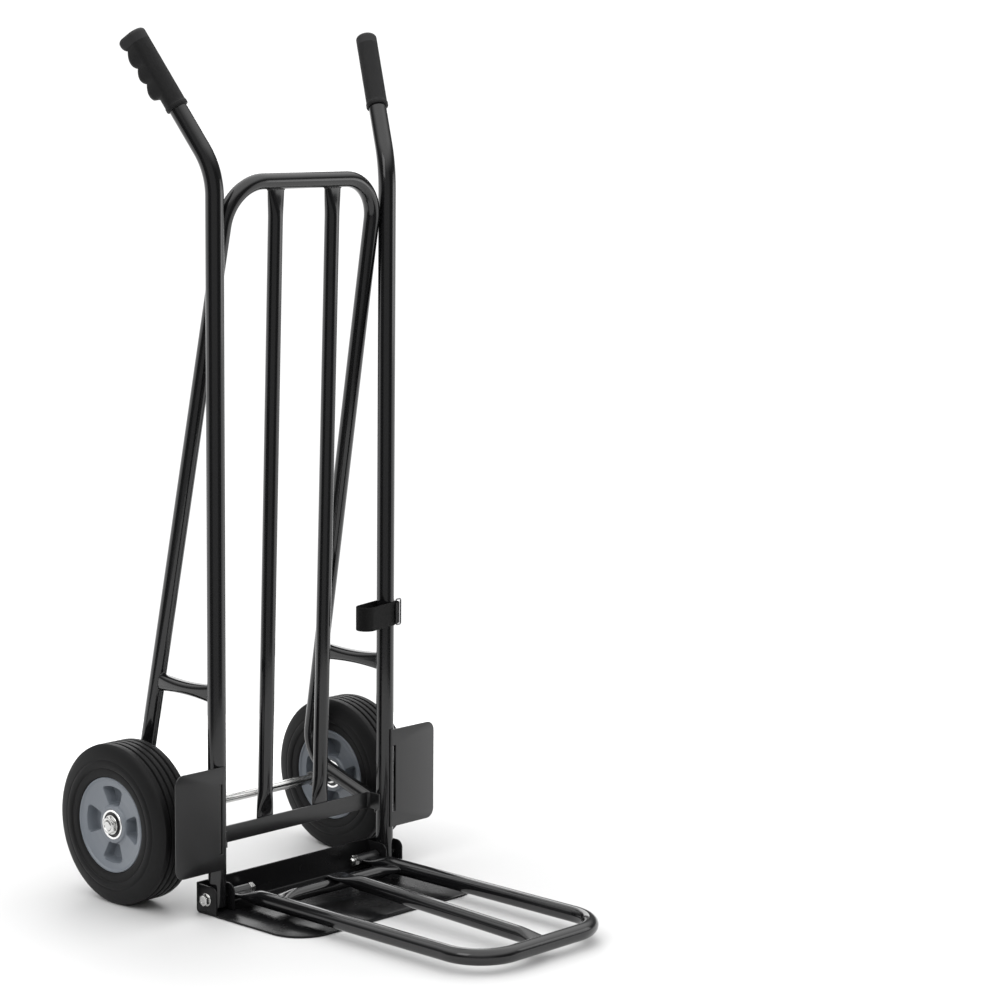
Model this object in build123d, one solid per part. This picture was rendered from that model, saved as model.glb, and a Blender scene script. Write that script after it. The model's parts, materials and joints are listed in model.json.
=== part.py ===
"""Folding-nose hand truck, in millimetres.

+Z is up, the toe plate and the folding nose point to -Y, X = 0 is the centre plane, and z = 0 is the
floor under the toe plate and both wheels. The nose is folded down and the toe plate lies flat.
"""
import os
from math import atan2, cos, degrees, hypot, radians, sin, sqrt, tan

from build123d import *

os.makedirs("parts", exist_ok=True)

# ---- clearances -----------------------------------------------------------------------------------
WELD = 0.02            # a coped end stands this far off the tube that it is welded to
RUN = 0.06             # radial running clearance of a pin in a turning part
CLEAR = 0.3            # between pieces on different bodies

# ---- uprights and handles -------------------------------------------------------------------------
UPRIGHT_X = 179.0      # centre line of each upright from the centre plane
UPRIGHT_D = 28.0
UPRIGHT_WALL = 2.0
UPRIGHT_BOTTOM = 10.0
HANDLE_BEND_Z = 1125.0
HANDLE_BEND_R = 130.0
HANDLE_OUT = 60.0      # the handle's tip, outward, back and up from the point where the upright bends
HANDLE_BACK = 110.0
HANDLE_UP = 201.0
GRIP_LENGTH = 130.0
GRIP_D = 33.0
GRIP_CAP = 5.0
GRIP_FINGER_RIDGE = 28.5   # from the grip's axis to the top of a finger ridge
GRIP_FINGER_VALLEY = 22.0
GRIP_FINGERS = 4
GRIP_COLLAR = 23.0     # plain sleeve below the lowest finger ridge
GRIP_PAD_WIDTH = 21.0

# ---- rear hoop: rail, two legs, and the lower runs that meet the uprights ------------------------------
HOOP_D = 25.0
HOOP_WALL = 1.8
RAIL_Z = 1108.0
RAIL_Y = -3.0
RAIL_BEND_R = 69.0
HEEL_Y = 177.5         # where the leg's line and the lower run's line cross
HEEL_Z = 155.5
HEEL_BEND_R = 58.0
LOWER_RUN_DROP = 0.32  # fall of the lower run towards the upright, per unit of length

# ---- back slats and lower cross strip ----------------------------------------------------------------
SLAT_X = 58.7
SLAT_D = 23.0
SLAT_WALL = 1.5
SLAT_FLAT = 7.0        # thickness of a tube where its end is pressed flat
STRIP_FRONT_Y = 18.5
STRIP_THICK = 3.0
STRIP_HEIGHT = 26.0
STRIP_Z = 111.6
STRIP_RETURN = 26.0    # the strip's ends turn forward along the uprights by this much
STRIP_BEND_R = 5.0
TRANSITION = 46.0      # length over which a pressed end grows round again

# ---- mid braces ----------------------------------------------------------------------------------------
BRACE_Z = 338.0
BRACE_END_HEIGHT = 31.0
BRACE_END_THICK = 13.0
BRACE_MID_D = 21.5

# ---- wheels, axle ----------------------------------------------------------------------------------------
WHEEL_D = 250.0
TYRE_GAP = 2.5         # between the hoop's outer side and the tyre
AXLE_Y = 147.6
AXLE_D = 16.0
AXLE_PROUD = 0.6       # axle end beyond its nut
TREAD_HALF = 28.5
SIDE_HALF = 38.0
HUB_D = 148.0
HUB_RIM_HALF = 35.0
BOSS_HALF = 31.0
BOSS_D = 56.0
BEARING_D = 46.0
BEARING_W = 12.0
GROOVES = 4
GROOVE_W = 4.2
GROOVE_DEPTH = 3.6
POCKET_IN, POCKET_OUT, POCKET_DEEP = 30.0, 60.0, 18.0
POCKET_HALF_ANGLE = 23.0
SLEEVE_D = 24.0
SLEEVE_INWARD = 23.0   # sleeve's inner end from the upright's centre plane
WASHER_D = 30.0
WASHER_T = 2.0
NUT_AF = 24.0
NUT_T = 6.0

# ---- wheel guards ----------------------------------------------------------------------------------------
GUARD_T = 2.5
GUARD_INWARD = 3.0     # guard's inner edge from the upright's centre line
GUARD_OUTWARD = 96.0   # and its outer edge
GUARD_LOW, GUARD_HIGH = 70.0, 230.0
GUARD_CORNER = 9.0
SLOT_OUTWARD, SLOT_W = 6.0, 6.0
SLOT_LOW, SLOT_HIGH = 94.5, 203.3

# ---- toe plate ---------------------------------------------------------------------------------------------
PIVOT_Z = 24.0
PIN_D = 10.0
EAR_GAP = 4.0          # between the upright and the outer ear
TOE_DEPTH = 206.0      # from the pivot line to the front edge
TOE_T = 3.0
TOE_BEND_R = 7.0
TOE_CORNER = 58.0
FLANGE_Y = 21.0
FLANGE_TOP = 47.0
EAR_T = 3.0
INNER_EAR_GAP = 0.5
EAR_FRONT = 21.0
EAR_TOP = 45.0
EAR_CORNER = 12.0
HEAD_AF, HEAD_T = 16.0, 6.4
PIN_WASHER_D, PIN_WASHER_T = 20.0, 2.0
PIN_NUT_T = 8.4
PIN_THREAD = 3.2       # bolt end beyond its nut

# ---- folding nose --------------------------------------------------------------------------------------------
NOSE_INWARD = 41.7     # each leg's centre line from the upright's
NOSE_D = 25.0
NOSE_WALL = 1.8
NOSE_REACH = 515.0     # pivot line to the centre of the front bar
NOSE_BEND_R = 66.0
NOSE_FLAT = 6.0
NOSE_CROSS_Y = 76.0
NOSE_CROSS_D = 21.0
NOSE_SLAT_D = 24.0
NOSE_SLAT_FLAT = 6.0
NOSE_SLAT_LAP = 8.0    # the slat's rear end runs this far past the cross tube's middle
NOSE_SLAT_RISE = 58.0  # length over which that end grows round again
HINGE_D = 17.0
HINGE_GAP = 1.0        # between the inner ear and the hinge sleeve
HINGE_LENGTH = 44.5

# ---- tie strap ----------------------------------------------------------------------------------------------------
STRAP_Z = 418.0
STRAP_W = 38.0
STRAP_T = 2.0
STRAP_END_INWARD, STRAP_END_Y, STRAP_END_R = 55.0, -11.5, 14.0
RING_WIRE = 2.6
RING_W, RING_H = 10.0, 44.0

# ---- places that follow from the sizes above ----------------------------------------------------------
UR, HR, SR, AR, NR = UPRIGHT_D / 2, HOOP_D / 2, SLAT_D / 2, AXLE_D / 2, NOSE_D / 2
AXLE_Z = WHEEL_D / 2
WHEEL_X = UPRIGHT_X + HR + TYRE_GAP + SIDE_HALF
TOE_HALF = UPRIGHT_X + UR + EAR_GAP + EAR_T
INNER_EAR_X = UPRIGHT_X - UR - INNER_EAR_GAP       # the inner ear's outer face
HINGE_OUT = INNER_EAR_X - EAR_T - HINGE_GAP
HINGE_IN = HINGE_OUT - HINGE_LENGTH
NOSE_X = UPRIGHT_X - NOSE_INWARD


# ---- helpers --------------------------------------------------------------------------------------------------
def save(name, *solids):
    """Write one node: a single solid, or a group of separate solids."""
    shapes = [s for part in solids for s in part.solids()]
    shape = shapes[0] if len(shapes) == 1 else Compound(children=shapes)
    export_step(shape, f"parts/{name}.step")


def mirror_x(shape):
    return mirror(shape, about=Plane.YZ)


def save_pair(name, right):
    save(f"{name}_right", right)
    save(f"{name}_left", mirror_x(right))


def bent_path(points, bends):
    """Straight runs through the points, each inner corner rounded to its own centre-line radius."""
    pts = [Vector(*p) for p in points]
    edges, start = [], pts[0]
    for before, corner, after, r in zip(pts, pts[1:], pts[2:], bends):
        a, b = (before - corner).normalized(), (after - corner).normalized()
        half = radians(a.get_angle(b)) / 2
        t = r / tan(half)
        inward = (a + b).normalized()
        middle = corner + inward * (r / sin(half) - r)
        edges += [Edge.make_line(start, corner + a * t),
                  Edge.make_three_point_arc(corner + a * t, middle, corner + b * t)]
        start = corner + b * t
    edges.append(Edge.make_line(start, pts[-1]))
    return Wire(edges)


def bent_rod(points, bends, radius):
    a, b = Vector(*points[0]), Vector(*points[1])
    return sweep(Plane(a, z_dir=(b - a)) * Circle(radius), path=bent_path(points, bends))


def bent_tube(points, bends, radius, wall):
    a, b = Vector(*points[0]), Vector(*points[1])
    ring = Plane(a, z_dir=(b - a)) * (Circle(radius) - Circle(radius - wall))
    return sweep(ring, path=bent_path(points, bends))


def rod_x(x0, x1, y, z, radius):
    """A round rod along X."""
    return Pos((x0 + x1) / 2, y, z) * Rot(0, 90, 0) * Cylinder(radius, abs(x1 - x0))


def ring_x(x0, x1, y, z, outer, inner):
    return rod_x(x0, x1, y, z, outer) - rod_x(x0 - 1, x1 + 1, y, z, inner)


def hex_x(x0, x1, y, z, across_flats, bore=0):
    body = extrude(Plane((x0, y, z), x_dir=(0, 1, 0), z_dir=(1, 0, 0))
                   * RegularPolygon(across_flats / 2, 6, major_radius=False), x1 - x0)
    return body - rod_x(x0 - 1, x1 + 1, y, z, bore) if bore else body


def pressed_form(start, end, wide, radius, flat, trim, transition, ends):
    """Round bar whose chosen ends are pressed flat, wide along `wide` and `flat` thick."""
    a, b = Vector(*start), Vector(*end)
    axis = (b - a).normalized()
    length = (b - a).length
    r = radius - trim
    thick = flat / 2 - trim
    broad = radius * 1.57 - 0.57 * flat / 2 - trim

    def section(s, share):
        """share is 0 where the bar is round and 1 where it is pressed flat."""
        ease = share * share * (3 - 2 * share)
        x, y = r + (broad - r) * ease, r + (thick - r) * ease
        return Plane(a + axis * s, x_dir=wide, z_dir=axis) * Ellipse(x, y)

    over = 1.0 if trim else 0.0
    steps = (1.0, 0.7, 0.35, 0.0)
    lip = 0.22 * transition
    parts = []
    s0, s1 = -over, length + over
    if "start" in ends:
        parts.append(loft([section(-over, 1), section(lip, 1)], ruled=True))
        parts.append(loft([section(lip + (transition - lip) * i / 3, q) for i, q in enumerate(steps)]))
        s0 = transition
    if "end" in ends:
        parts.append(loft([section(length + over, 1), section(length - lip, 1)], ruled=True))
        parts.append(loft([section(length - lip - (transition - lip) * i / 3, q) for i, q in enumerate(steps)]))
        s1 = length - transition
    middle = Plane(a + axis * s0, x_dir=wide, z_dir=axis) * Circle(r)
    parts.append(extrude(middle, s1 - s0))
    whole = parts[0]
    for p in parts[1:]:
        whole = whole + p
    return whole


def pressed_tube(start, end, wide, radius, wall, flat, transition=TRANSITION, ends=("start", "end")):
    return (pressed_form(start, end, wide, radius, flat, 0, transition, ends)
            - pressed_form(start, end, wide, radius, flat, wall, transition, ends))


# ---- uprights and grips ---------------------------------------------------------------------------------------
tip = Vector(UPRIGHT_X + HANDLE_OUT, HANDLE_BACK, HANDLE_BEND_Z + HANDLE_UP)
bend = Vector(UPRIGHT_X, 0, HANDLE_BEND_Z)
lean = (tip - bend).normalized()
tube_end = tip - lean * GRIP_CAP
upright_points = [(UPRIGHT_X, 0, UPRIGHT_BOTTOM), tuple(bend), tuple(tube_end)]
upright = bent_tube(upright_points, [HANDLE_BEND_R], UR, UPRIGHT_WALL)
upright -= rod_x(UPRIGHT_X - UPRIGHT_D, UPRIGHT_X + UPRIGHT_D, 0, PIVOT_Z, PIN_D / 2 + RUN)
save_pair("upright", upright)

flat_out = Vector(lean.X, lean.Y, 0).normalized()
finger_side = (flat_out - lean * flat_out.dot(lean)).normalized()
grip_plane = Plane(tip - lean * GRIP_LENGTH, x_dir=finger_side, z_dir=lean)
grip_r = GRIP_D / 2
pitch = (GRIP_LENGTH - GRIP_COLLAR) / GRIP_FINGERS
wave = [(0, GRIP_COLLAR)]
for i in range(GRIP_FINGERS):
    low = GRIP_COLLAR + pitch * i
    wave += [(GRIP_FINGER_VALLEY if i else grip_r, low + 1), (GRIP_FINGER_RIDGE - 1.5, low + 0.22 * pitch),
             (GRIP_FINGER_RIDGE, low + 0.42 * pitch), (GRIP_FINGER_RIDGE - 1.5, low + 0.62 * pitch)]
wave += [(GRIP_FINGER_RIDGE - 4, GRIP_LENGTH - 2), (GRIP_FINGER_RIDGE - 8, GRIP_LENGTH), (0, GRIP_LENGTH)]
pad = extrude(Plane.XZ * make_face(Polyline(*wave, close=True)), GRIP_PAD_WIDTH / 2, both=True)
collar = Pos(0, 0, 4) * Cylinder(grip_r + 1.2, 8)
body = Pos(0, 0, GRIP_LENGTH / 2) * Cylinder(grip_r, GRIP_LENGTH)
body = fillet(body.edges().group_by(Axis.Z)[-1], 4)
grip_local = body + pad + collar - Pos(0, 0, (GRIP_LENGTH - GRIP_CAP) / 2) * Cylinder(UR + WELD, GRIP_LENGTH - GRIP_CAP)
save_pair("grip", grip_plane.location * grip_local)

# ---- rear hoop --------------------------------------------------------------------------------------------------
# the leg touches the inner side of the upright just below the rail's bend
fall = RAIL_Z - HEEL_Z
touch_z = RAIL_Z - 0.95 * RAIL_BEND_R
touch_y = RAIL_Y + (HEEL_Y - RAIL_Y) * (RAIL_Z - touch_z) / fall
touch_x = UPRIGHT_X - sqrt((UR + HR + 0.15) ** 2 - touch_y ** 2)
rail_x = UPRIGHT_X - (UPRIGHT_X - touch_x) * fall / (touch_z - HEEL_Z)
foot = (UPRIGHT_X, 0, HEEL_Z - LOWER_RUN_DROP * HEEL_Y)
heel = (UPRIGHT_X, HEEL_Y, HEEL_Z)
corner = (rail_x, RAIL_Y, RAIL_Z)
hoop_points = [foot, heel, corner] + [(-x, y, z) for x, y, z in (corner, heel, foot)]
hoop_bends = [HEEL_BEND_R, RAIL_BEND_R, RAIL_BEND_R, HEEL_BEND_R]
upright_core = Pos(UPRIGHT_X, 0, HANDLE_BEND_Z / 2) * Cylinder(UR + WELD, HANDLE_BEND_Z)
hoop_solid = bent_rod(hoop_points, hoop_bends, HR)
hoop = bent_tube(hoop_points, hoop_bends, HR, HOOP_WALL) - upright_core - mirror_x(upright_core)
sleeve_x0 = UPRIGHT_X - SLEEVE_INWARD
sleeve_x1 = WHEEL_X - BOSS_HALF - WASHER_T - 2 * CLEAR
sleeve_cut = rod_x(sleeve_x0 - 1, sleeve_x1 + 1, AXLE_Y, AXLE_Z, SLEEVE_D / 2 + WELD)
hoop = hoop - sleeve_cut - mirror_x(sleeve_cut)
save("rear_hoop", hoop)

# ---- back slats, lower cross strip --------------------------------------------------------------------------------
strip_back = STRIP_FRONT_Y + STRIP_THICK
slat_low = (SLAT_X, strip_back + SLAT_FLAT / 2 + WELD, STRIP_Z - STRIP_HEIGHT / 2)
slat_high = (SLAT_X, RAIL_Y, RAIL_Z)
slat = pressed_tube(slat_low, slat_high, (1, 0, 0), SR, SLAT_WALL, SLAT_FLAT)
slat -= rod_x(0, 2 * SLAT_X, RAIL_Y, RAIL_Z, HR + WELD)
slat -= Pos(SLAT_X, strip_back - 10, STRIP_Z) * Box(2 * SLAT_X, 20, STRIP_HEIGHT + 60)
slat = slat.solids().sort_by(SortBy.VOLUME)[-1]
save_pair("back_slat", slat)

strip_end = UPRIGHT_X - max(UR, HR) - WELD
outline = make_face(Polyline(
    (-strip_end, strip_back), (-strip_end, strip_back - STRIP_RETURN), (-strip_end + STRIP_THICK, strip_back - STRIP_RETURN),
    (-strip_end + STRIP_THICK, STRIP_FRONT_Y), (strip_end - STRIP_THICK, STRIP_FRONT_Y),
    (strip_end - STRIP_THICK, strip_back - STRIP_RETURN), (strip_end, strip_back - STRIP_RETURN),
    (strip_end, strip_back), close=True))
strip = extrude(outline, STRIP_HEIGHT)
upright_lines = strip.edges().filter_by(Axis.Z)
strip = fillet(upright_lines.filter_by_position(Axis.Y, STRIP_FRONT_Y - 0.1, STRIP_FRONT_Y + 0.1), STRIP_BEND_R)
strip = fillet(strip.edges().filter_by(Axis.Z).filter_by_position(Axis.Y, strip_back - 0.1, strip_back + 0.1)
               .filter_by(lambda e: abs(abs(e.center().X) - strip_end) < 0.1), STRIP_BEND_R + STRIP_THICK)
save("lower_cross_strip", Pos(0, 0, STRIP_Z - STRIP_HEIGHT / 2) * strip)

# ---- mid braces -----------------------------------------------------------------------------------------------------
at = (RAIL_Z - BRACE_Z) / fall
leg_x, leg_y = rail_x + (UPRIGHT_X - rail_x) * at, RAIL_Y + (HEEL_Y - RAIL_Y) * at
brace_sections = []
for share in (0.0, 0.2, 0.5, 0.8, 1.0):
    swell = (2 * share - 1) ** 2
    centre = (UPRIGHT_X + (leg_x - UPRIGHT_X) * share, leg_y * share, BRACE_Z)
    thick = BRACE_MID_D + (BRACE_END_THICK - BRACE_MID_D) * swell
    tall = BRACE_MID_D + (BRACE_END_HEIGHT - BRACE_MID_D) * swell
    brace_sections.append(Plane(centre, x_dir=(1, 0, 0), z_dir=(0, 1, 0)) * Ellipse(thick / 2, tall / 2))
brace = loft(brace_sections) - upright_core - bent_rod(hoop_points, hoop_bends, HR + WELD)
save_pair("mid_brace", brace.solids().sort_by(SortBy.VOLUME)[-1])

# ---- wheel guards -----------------------------------------------------------------------------------------------------
guard_w, guard_h = GUARD_OUTWARD + GUARD_INWARD, GUARD_HIGH - GUARD_LOW
guard = Pos(UPRIGHT_X + (GUARD_OUTWARD - GUARD_INWARD) / 2, -UR - WELD - GUARD_T / 2, (GUARD_LOW + GUARD_HIGH) / 2) * Box(
    guard_w, GUARD_T, guard_h)
guard = fillet(guard.edges().filter_by(Axis.Y).group_by(Axis.X)[-1], GUARD_CORNER)
guard -= Pos(UPRIGHT_X + SLOT_OUTWARD, -UR, (SLOT_LOW + SLOT_HIGH) / 2) * Box(SLOT_W, 4 * GUARD_T, SLOT_HIGH - SLOT_LOW)
save_pair("wheel_guard", guard)

# ---- axle, its sleeves, washers and nuts -------------------------------------------------------------------------------
outer_face = WHEEL_X + BOSS_HALF + CLEAR
nut_end = outer_face + WASHER_T + NUT_T
save("axle", rod_x(-nut_end - AXLE_PROUD, nut_end + AXLE_PROUD, AXLE_Y, AXLE_Z, AR))
save_pair("axle_sleeve", ring_x(sleeve_x0, sleeve_x1, AXLE_Y, AXLE_Z, SLEEVE_D / 2, AR + WELD))
inner_washer = ring_x(sleeve_x1, sleeve_x1 + WASHER_T, AXLE_Y, AXLE_Z, WASHER_D / 2, AR + WELD)
outer_washer = ring_x(outer_face, outer_face + WASHER_T, AXLE_Y, AXLE_Z, WASHER_D / 2, AR + WELD)
nut = hex_x(outer_face + WASHER_T, nut_end, AXLE_Y, AXLE_Z, NUT_AF, AR + WELD)
save("axle_washers", inner_washer, outer_washer, mirror_x(inner_washer), mirror_x(outer_washer))
save("axle_nuts", nut, mirror_x(nut))


# ---- wheels ----------------------------------------------------------------------------------------------------------------
def turned(profile):
    """Turn an (axial, radial) outline about the axle, for the right wheel."""
    face = Plane((WHEEL_X, AXLE_Y, AXLE_Z), x_dir=(1, 0, 0), z_dir=(0, -1, 0)) * make_face(Polyline(*profile, close=True))
    return revolve(face, Axis((WHEEL_X, AXLE_Y, AXLE_Z), (1, 0, 0)), 360)


def both_sides(half):
    """Mirror a half outline, given from the tread to the bore on the outer side."""
    return half + [(-x, r) for x, r in reversed(half)]


tread_r, rim_r = WHEEL_D / 2, HUB_D / 2
tread = []
groove_pitch = 2 * TREAD_HALF / (GROOVES + 1)
for i in range(GROOVES):
    c = -TREAD_HALF + groove_pitch * (i + 1)
    tread += [(c - GROOVE_W / 2, tread_r), (c - GROOVE_W / 4, tread_r - GROOVE_DEPTH),
              (c + GROOVE_W / 4, tread_r - GROOVE_DEPTH), (c + GROOVE_W / 2, tread_r)]
side = [(TREAD_HALF, tread_r), (TREAD_HALF + 2.5, tread_r - 4), (SIDE_HALF - 3, tread_r - 16),
        (SIDE_HALF - 1.2, tread_r - 24), (SIDE_HALF - 2.2, tread_r - 25), (SIDE_HALF, tread_r - 27),
        (SIDE_HALF, tread_r - 35), (SIDE_HALF - 2.2, tread_r - 37), (SIDE_HALF - 1.4, tread_r - 39), (SIDE_HALF - 3, rim_r + WELD)]
tyre = turned([(-x, r) for x, r in reversed(side)] + tread + side)
save_pair("tyre", tyre)

hub_half = [(HUB_RIM_HALF, rim_r), (HUB_RIM_HALF, rim_r - 4), (HUB_RIM_HALF - 3, rim_r - 7),
            (BOSS_HALF - 6, BOSS_D / 2 + 4), (BOSS_HALF - 4, BOSS_D / 2), (BOSS_HALF - 1, BOSS_D / 2 - 1),
            (BOSS_HALF - 1, BEARING_D / 2 + WELD), (BOSS_HALF - BEARING_W - WELD, BEARING_D / 2 + WELD),
            (BOSS_HALF - BEARING_W - WELD, AR + 6)]
hub = turned(both_sides(hub_half))
for k in range(4):
    ang = 90 * k
    near = [(POCKET_IN, POCKET_HALF_ANGLE * t) for t in (-1, 0, 1)]
    far = [(POCKET_OUT, POCKET_HALF_ANGLE * t) for t in (1, 0.33, -0.33, -1)]
    fan = make_face(Polyline(*[(q * cos(radians(a)), q * sin(radians(a))) for q, a in near + far], close=True))
    for side_sign in (1, -1):
        x0 = WHEEL_X + side_sign * (HUB_RIM_HALF + 5)
        plane = Plane((x0, AXLE_Y, AXLE_Z), x_dir=(0, cos(radians(ang)), sin(radians(ang))), z_dir=(-side_sign, 0, 0))
        hub -= extrude(plane * fan, POCKET_DEEP + 5)
save_pair("hub", hub)
bearing_out = ring_x(WHEEL_X + BOSS_HALF - BEARING_W, WHEEL_X + BOSS_HALF, AXLE_Y, AXLE_Z, BEARING_D / 2, AR + RUN)
bearing_in = ring_x(WHEEL_X - BOSS_HALF, WHEEL_X - BOSS_HALF + BEARING_W, AXLE_Y, AXLE_Z, BEARING_D / 2, AR + RUN)
save_pair("bearing_outer", bearing_out)
save_pair("bearing_inner", bearing_in)

# ---- toe plate and its ears -----------------------------------------------------------------------------------------------
outer_bend = TOE_BEND_R + TOE_T
flange_back = FLANGE_Y + TOE_T
section = make_face(Polyline((-TOE_DEPTH, 0), (flange_back, 0), (flange_back, FLANGE_TOP), (FLANGE_Y, FLANGE_TOP),
                             (FLANGE_Y, TOE_T), (-TOE_DEPTH, TOE_T), close=True))
toe = extrude(Plane((-TOE_HALF, 0, 0), x_dir=(0, 1, 0), z_dir=(1, 0, 0)) * section, 2 * TOE_HALF)
toe = fillet(toe.edges().filter_by(Axis.X).filter_by(
    lambda e: abs(e.center().Y - FLANGE_Y) < 0.1 and abs(e.center().Z - TOE_T) < 0.1), TOE_BEND_R)
toe = fillet(toe.edges().filter_by(Axis.X).filter_by(
    lambda e: abs(e.center().Y - flange_back) < 0.1 and abs(e.center().Z) < 0.1), outer_bend)
toe = fillet(toe.edges().filter_by(Axis.Z).filter_by(lambda e: abs(e.center().Y + TOE_DEPTH) < 0.1), TOE_CORNER)
save("toe_plate", toe)


def ear(x0, x1):
    """Side plate with the pivot hole; its heel follows the bend between the plate and the flange."""
    face = Rectangle(EAR_FRONT + FLANGE_Y - WELD, EAR_TOP - TOE_T - WELD)
    lower_rear = face.vertices().sort_by(lambda v: v.X - v.Y)[-1]
    upper_front = face.vertices().sort_by(lambda v: v.Y - v.X)[-1]
    face = fillet(lower_rear, TOE_BEND_R)
    face = fillet(face.vertices().sort_by(lambda v: v.Y - v.X)[-1], EAR_CORNER)
    plane = Plane((x0, (FLANGE_Y - EAR_FRONT) / 2 - WELD / 2, (EAR_TOP + TOE_T) / 2 + WELD / 2), x_dir=(0, 1, 0), z_dir=(1, 0, 0))
    return extrude(plane * face, x1 - x0) - rod_x(x0 - 1, x1 + 1, 0, PIVOT_Z, PIN_D / 2 + WELD)


save_pair("toe_ear_outer", ear(TOE_HALF - EAR_T, TOE_HALF))
save_pair("toe_ear_inner", ear(INNER_EAR_X - EAR_T, INNER_EAR_X))

# ---- pivot bolts, washers and nuts ---------------------------------------------------------------------------------------
head_x = TOE_HALF + PIN_WASHER_T
nut_x = HINGE_IN - CLEAR
bolt = rod_x(nut_x - PIN_NUT_T - PIN_THREAD, head_x, 0, PIVOT_Z, PIN_D / 2) + hex_x(head_x, head_x + HEAD_T, 0, PIVOT_Z, HEAD_AF)
pin_washer = ring_x(TOE_HALF, head_x, 0, PIVOT_Z, PIN_WASHER_D / 2, PIN_D / 2 + WELD)
pin_nut = hex_x(nut_x - PIN_NUT_T, nut_x, 0, PIVOT_Z, HEAD_AF, PIN_D / 2 + WELD)
save("pivot_bolts", bolt, mirror_x(bolt))
save("pivot_washers", pin_washer, mirror_x(pin_washer))
save("pivot_nuts", pin_nut, mirror_x(pin_nut))

# ---- folding nose ------------------------------------------------------------------------------------------------------------
hinge = ring_x(HINGE_IN, HINGE_OUT, 0, PIVOT_Z, HINGE_D / 2, PIN_D / 2 + RUN)
save_pair("nose_hinge_sleeve", hinge)
hinge_core = rod_x(HINGE_IN - 1, HINGE_OUT + 1, 0, PIVOT_Z, HINGE_D / 2 + WELD)
nose_turn = -(NOSE_CROSS_Y + NOSE_CROSS_D)
nose_points = [(NOSE_X, nose_turn, PIVOT_Z), (NOSE_X, -NOSE_REACH, PIVOT_Z),
               (-NOSE_X, -NOSE_REACH, PIVOT_Z), (-NOSE_X, nose_turn, PIVOT_Z)]
nose = bent_tube(nose_points, [NOSE_BEND_R, NOSE_BEND_R], NR, NOSE_WALL)
leg_end = pressed_tube((NOSE_X, 0, PIVOT_Z), (NOSE_X, nose_turn, PIVOT_Z), (1, 0, 0), NR, NOSE_WALL, NOSE_FLAT,
                       TRANSITION, ("start",)) - hinge_core
leg_end = leg_end.solids().sort_by(SortBy.VOLUME)[-1]
nose = nose + leg_end + mirror_x(leg_end)
save("nose_hoop", nose)
leg_core = Pos(NOSE_X, nose_turn / 2 - 30, PIVOT_Z) * Rot(90, 0, 0) * Cylinder(NR + WELD, abs(nose_turn) + 200)
cross = pressed_tube((-NOSE_X, -NOSE_CROSS_Y, PIVOT_Z), (NOSE_X, -NOSE_CROSS_Y, PIVOT_Z), (0, 1, 0),
                     NOSE_CROSS_D / 2, SLAT_WALL, SLAT_FLAT) - leg_core - mirror_x(leg_core)
save("nose_cross_tube", cross.solids().sort_by(SortBy.VOLUME)[-1])
bar_core = rod_x(-NOSE_X, NOSE_X, -NOSE_REACH, PIVOT_Z, NR + WELD)
cross_core = rod_x(-NOSE_X, NOSE_X, -NOSE_CROSS_Y, PIVOT_Z, NOSE_CROSS_D / 2 + WELD)
lap_z = PIVOT_Z + NOSE_CROSS_D / 2 + NOSE_SLAT_FLAT / 2
nose_slat = pressed_tube((0, NOSE_SLAT_LAP - NOSE_CROSS_Y, lap_z), (0, -NOSE_REACH, PIVOT_Z), (1, 0, 0),
                         NOSE_SLAT_D / 2, SLAT_WALL, NOSE_SLAT_FLAT, NOSE_SLAT_RISE) - bar_core - cross_core
save("nose_slat", nose_slat.solids().sort_by(SortBy.VOLUME)[-1])

# ---- tie strap and its ring -----------------------------------------------------------------------------------------------------
def loop(grow):
    near = Pos(UPRIGHT_X, 0) * Circle(UR + CLEAR + grow)
    far = Pos(UPRIGHT_X - STRAP_END_INWARD, STRAP_END_Y) * Circle(STRAP_END_R + grow)
    return make_hull(near.edges() + far.edges())


strap = extrude(Pos(0, 0, STRAP_Z - STRAP_W / 2) * (loop(STRAP_T) - loop(0)), STRAP_W)
save("tie_strap", strap)
out = UR + CLEAR + STRAP_T + CLEAR + 0.75 * RING_WIRE
ring_x0, ring_y = UPRIGHT_X + out * cos(radians(23)), -out * sin(radians(23))
frame = RectangleRounded(RING_W + RING_WIRE, RING_H, 2.5) - RectangleRounded(RING_W - RING_WIRE, RING_H - 2 * RING_WIRE, 1.0)
ring = extrude(Plane((ring_x0 + RING_W / 2, ring_y + RING_WIRE / 2, STRAP_Z), x_dir=(1, 0, 0), z_dir=(0, -1, 0)) * frame, RING_WIRE)
save("strap_ring", ring)
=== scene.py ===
# %% [markdown]
# # A hand truck with a folding nose
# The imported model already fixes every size, joint and place. This lesson puts the finished surface
# on each of its pieces: coated tube, pressed tube ends, weld beads, moulded grips, rubber tyres,
# plastic hubs, plated bolts and a webbing strap. Each shape is a formula worked out with numpy.

# %% Load the frame
import json
from math import cos, pi, radians, sin, tan

import bpy
import numpy as np
from mathutils import Matrix, Vector


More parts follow.
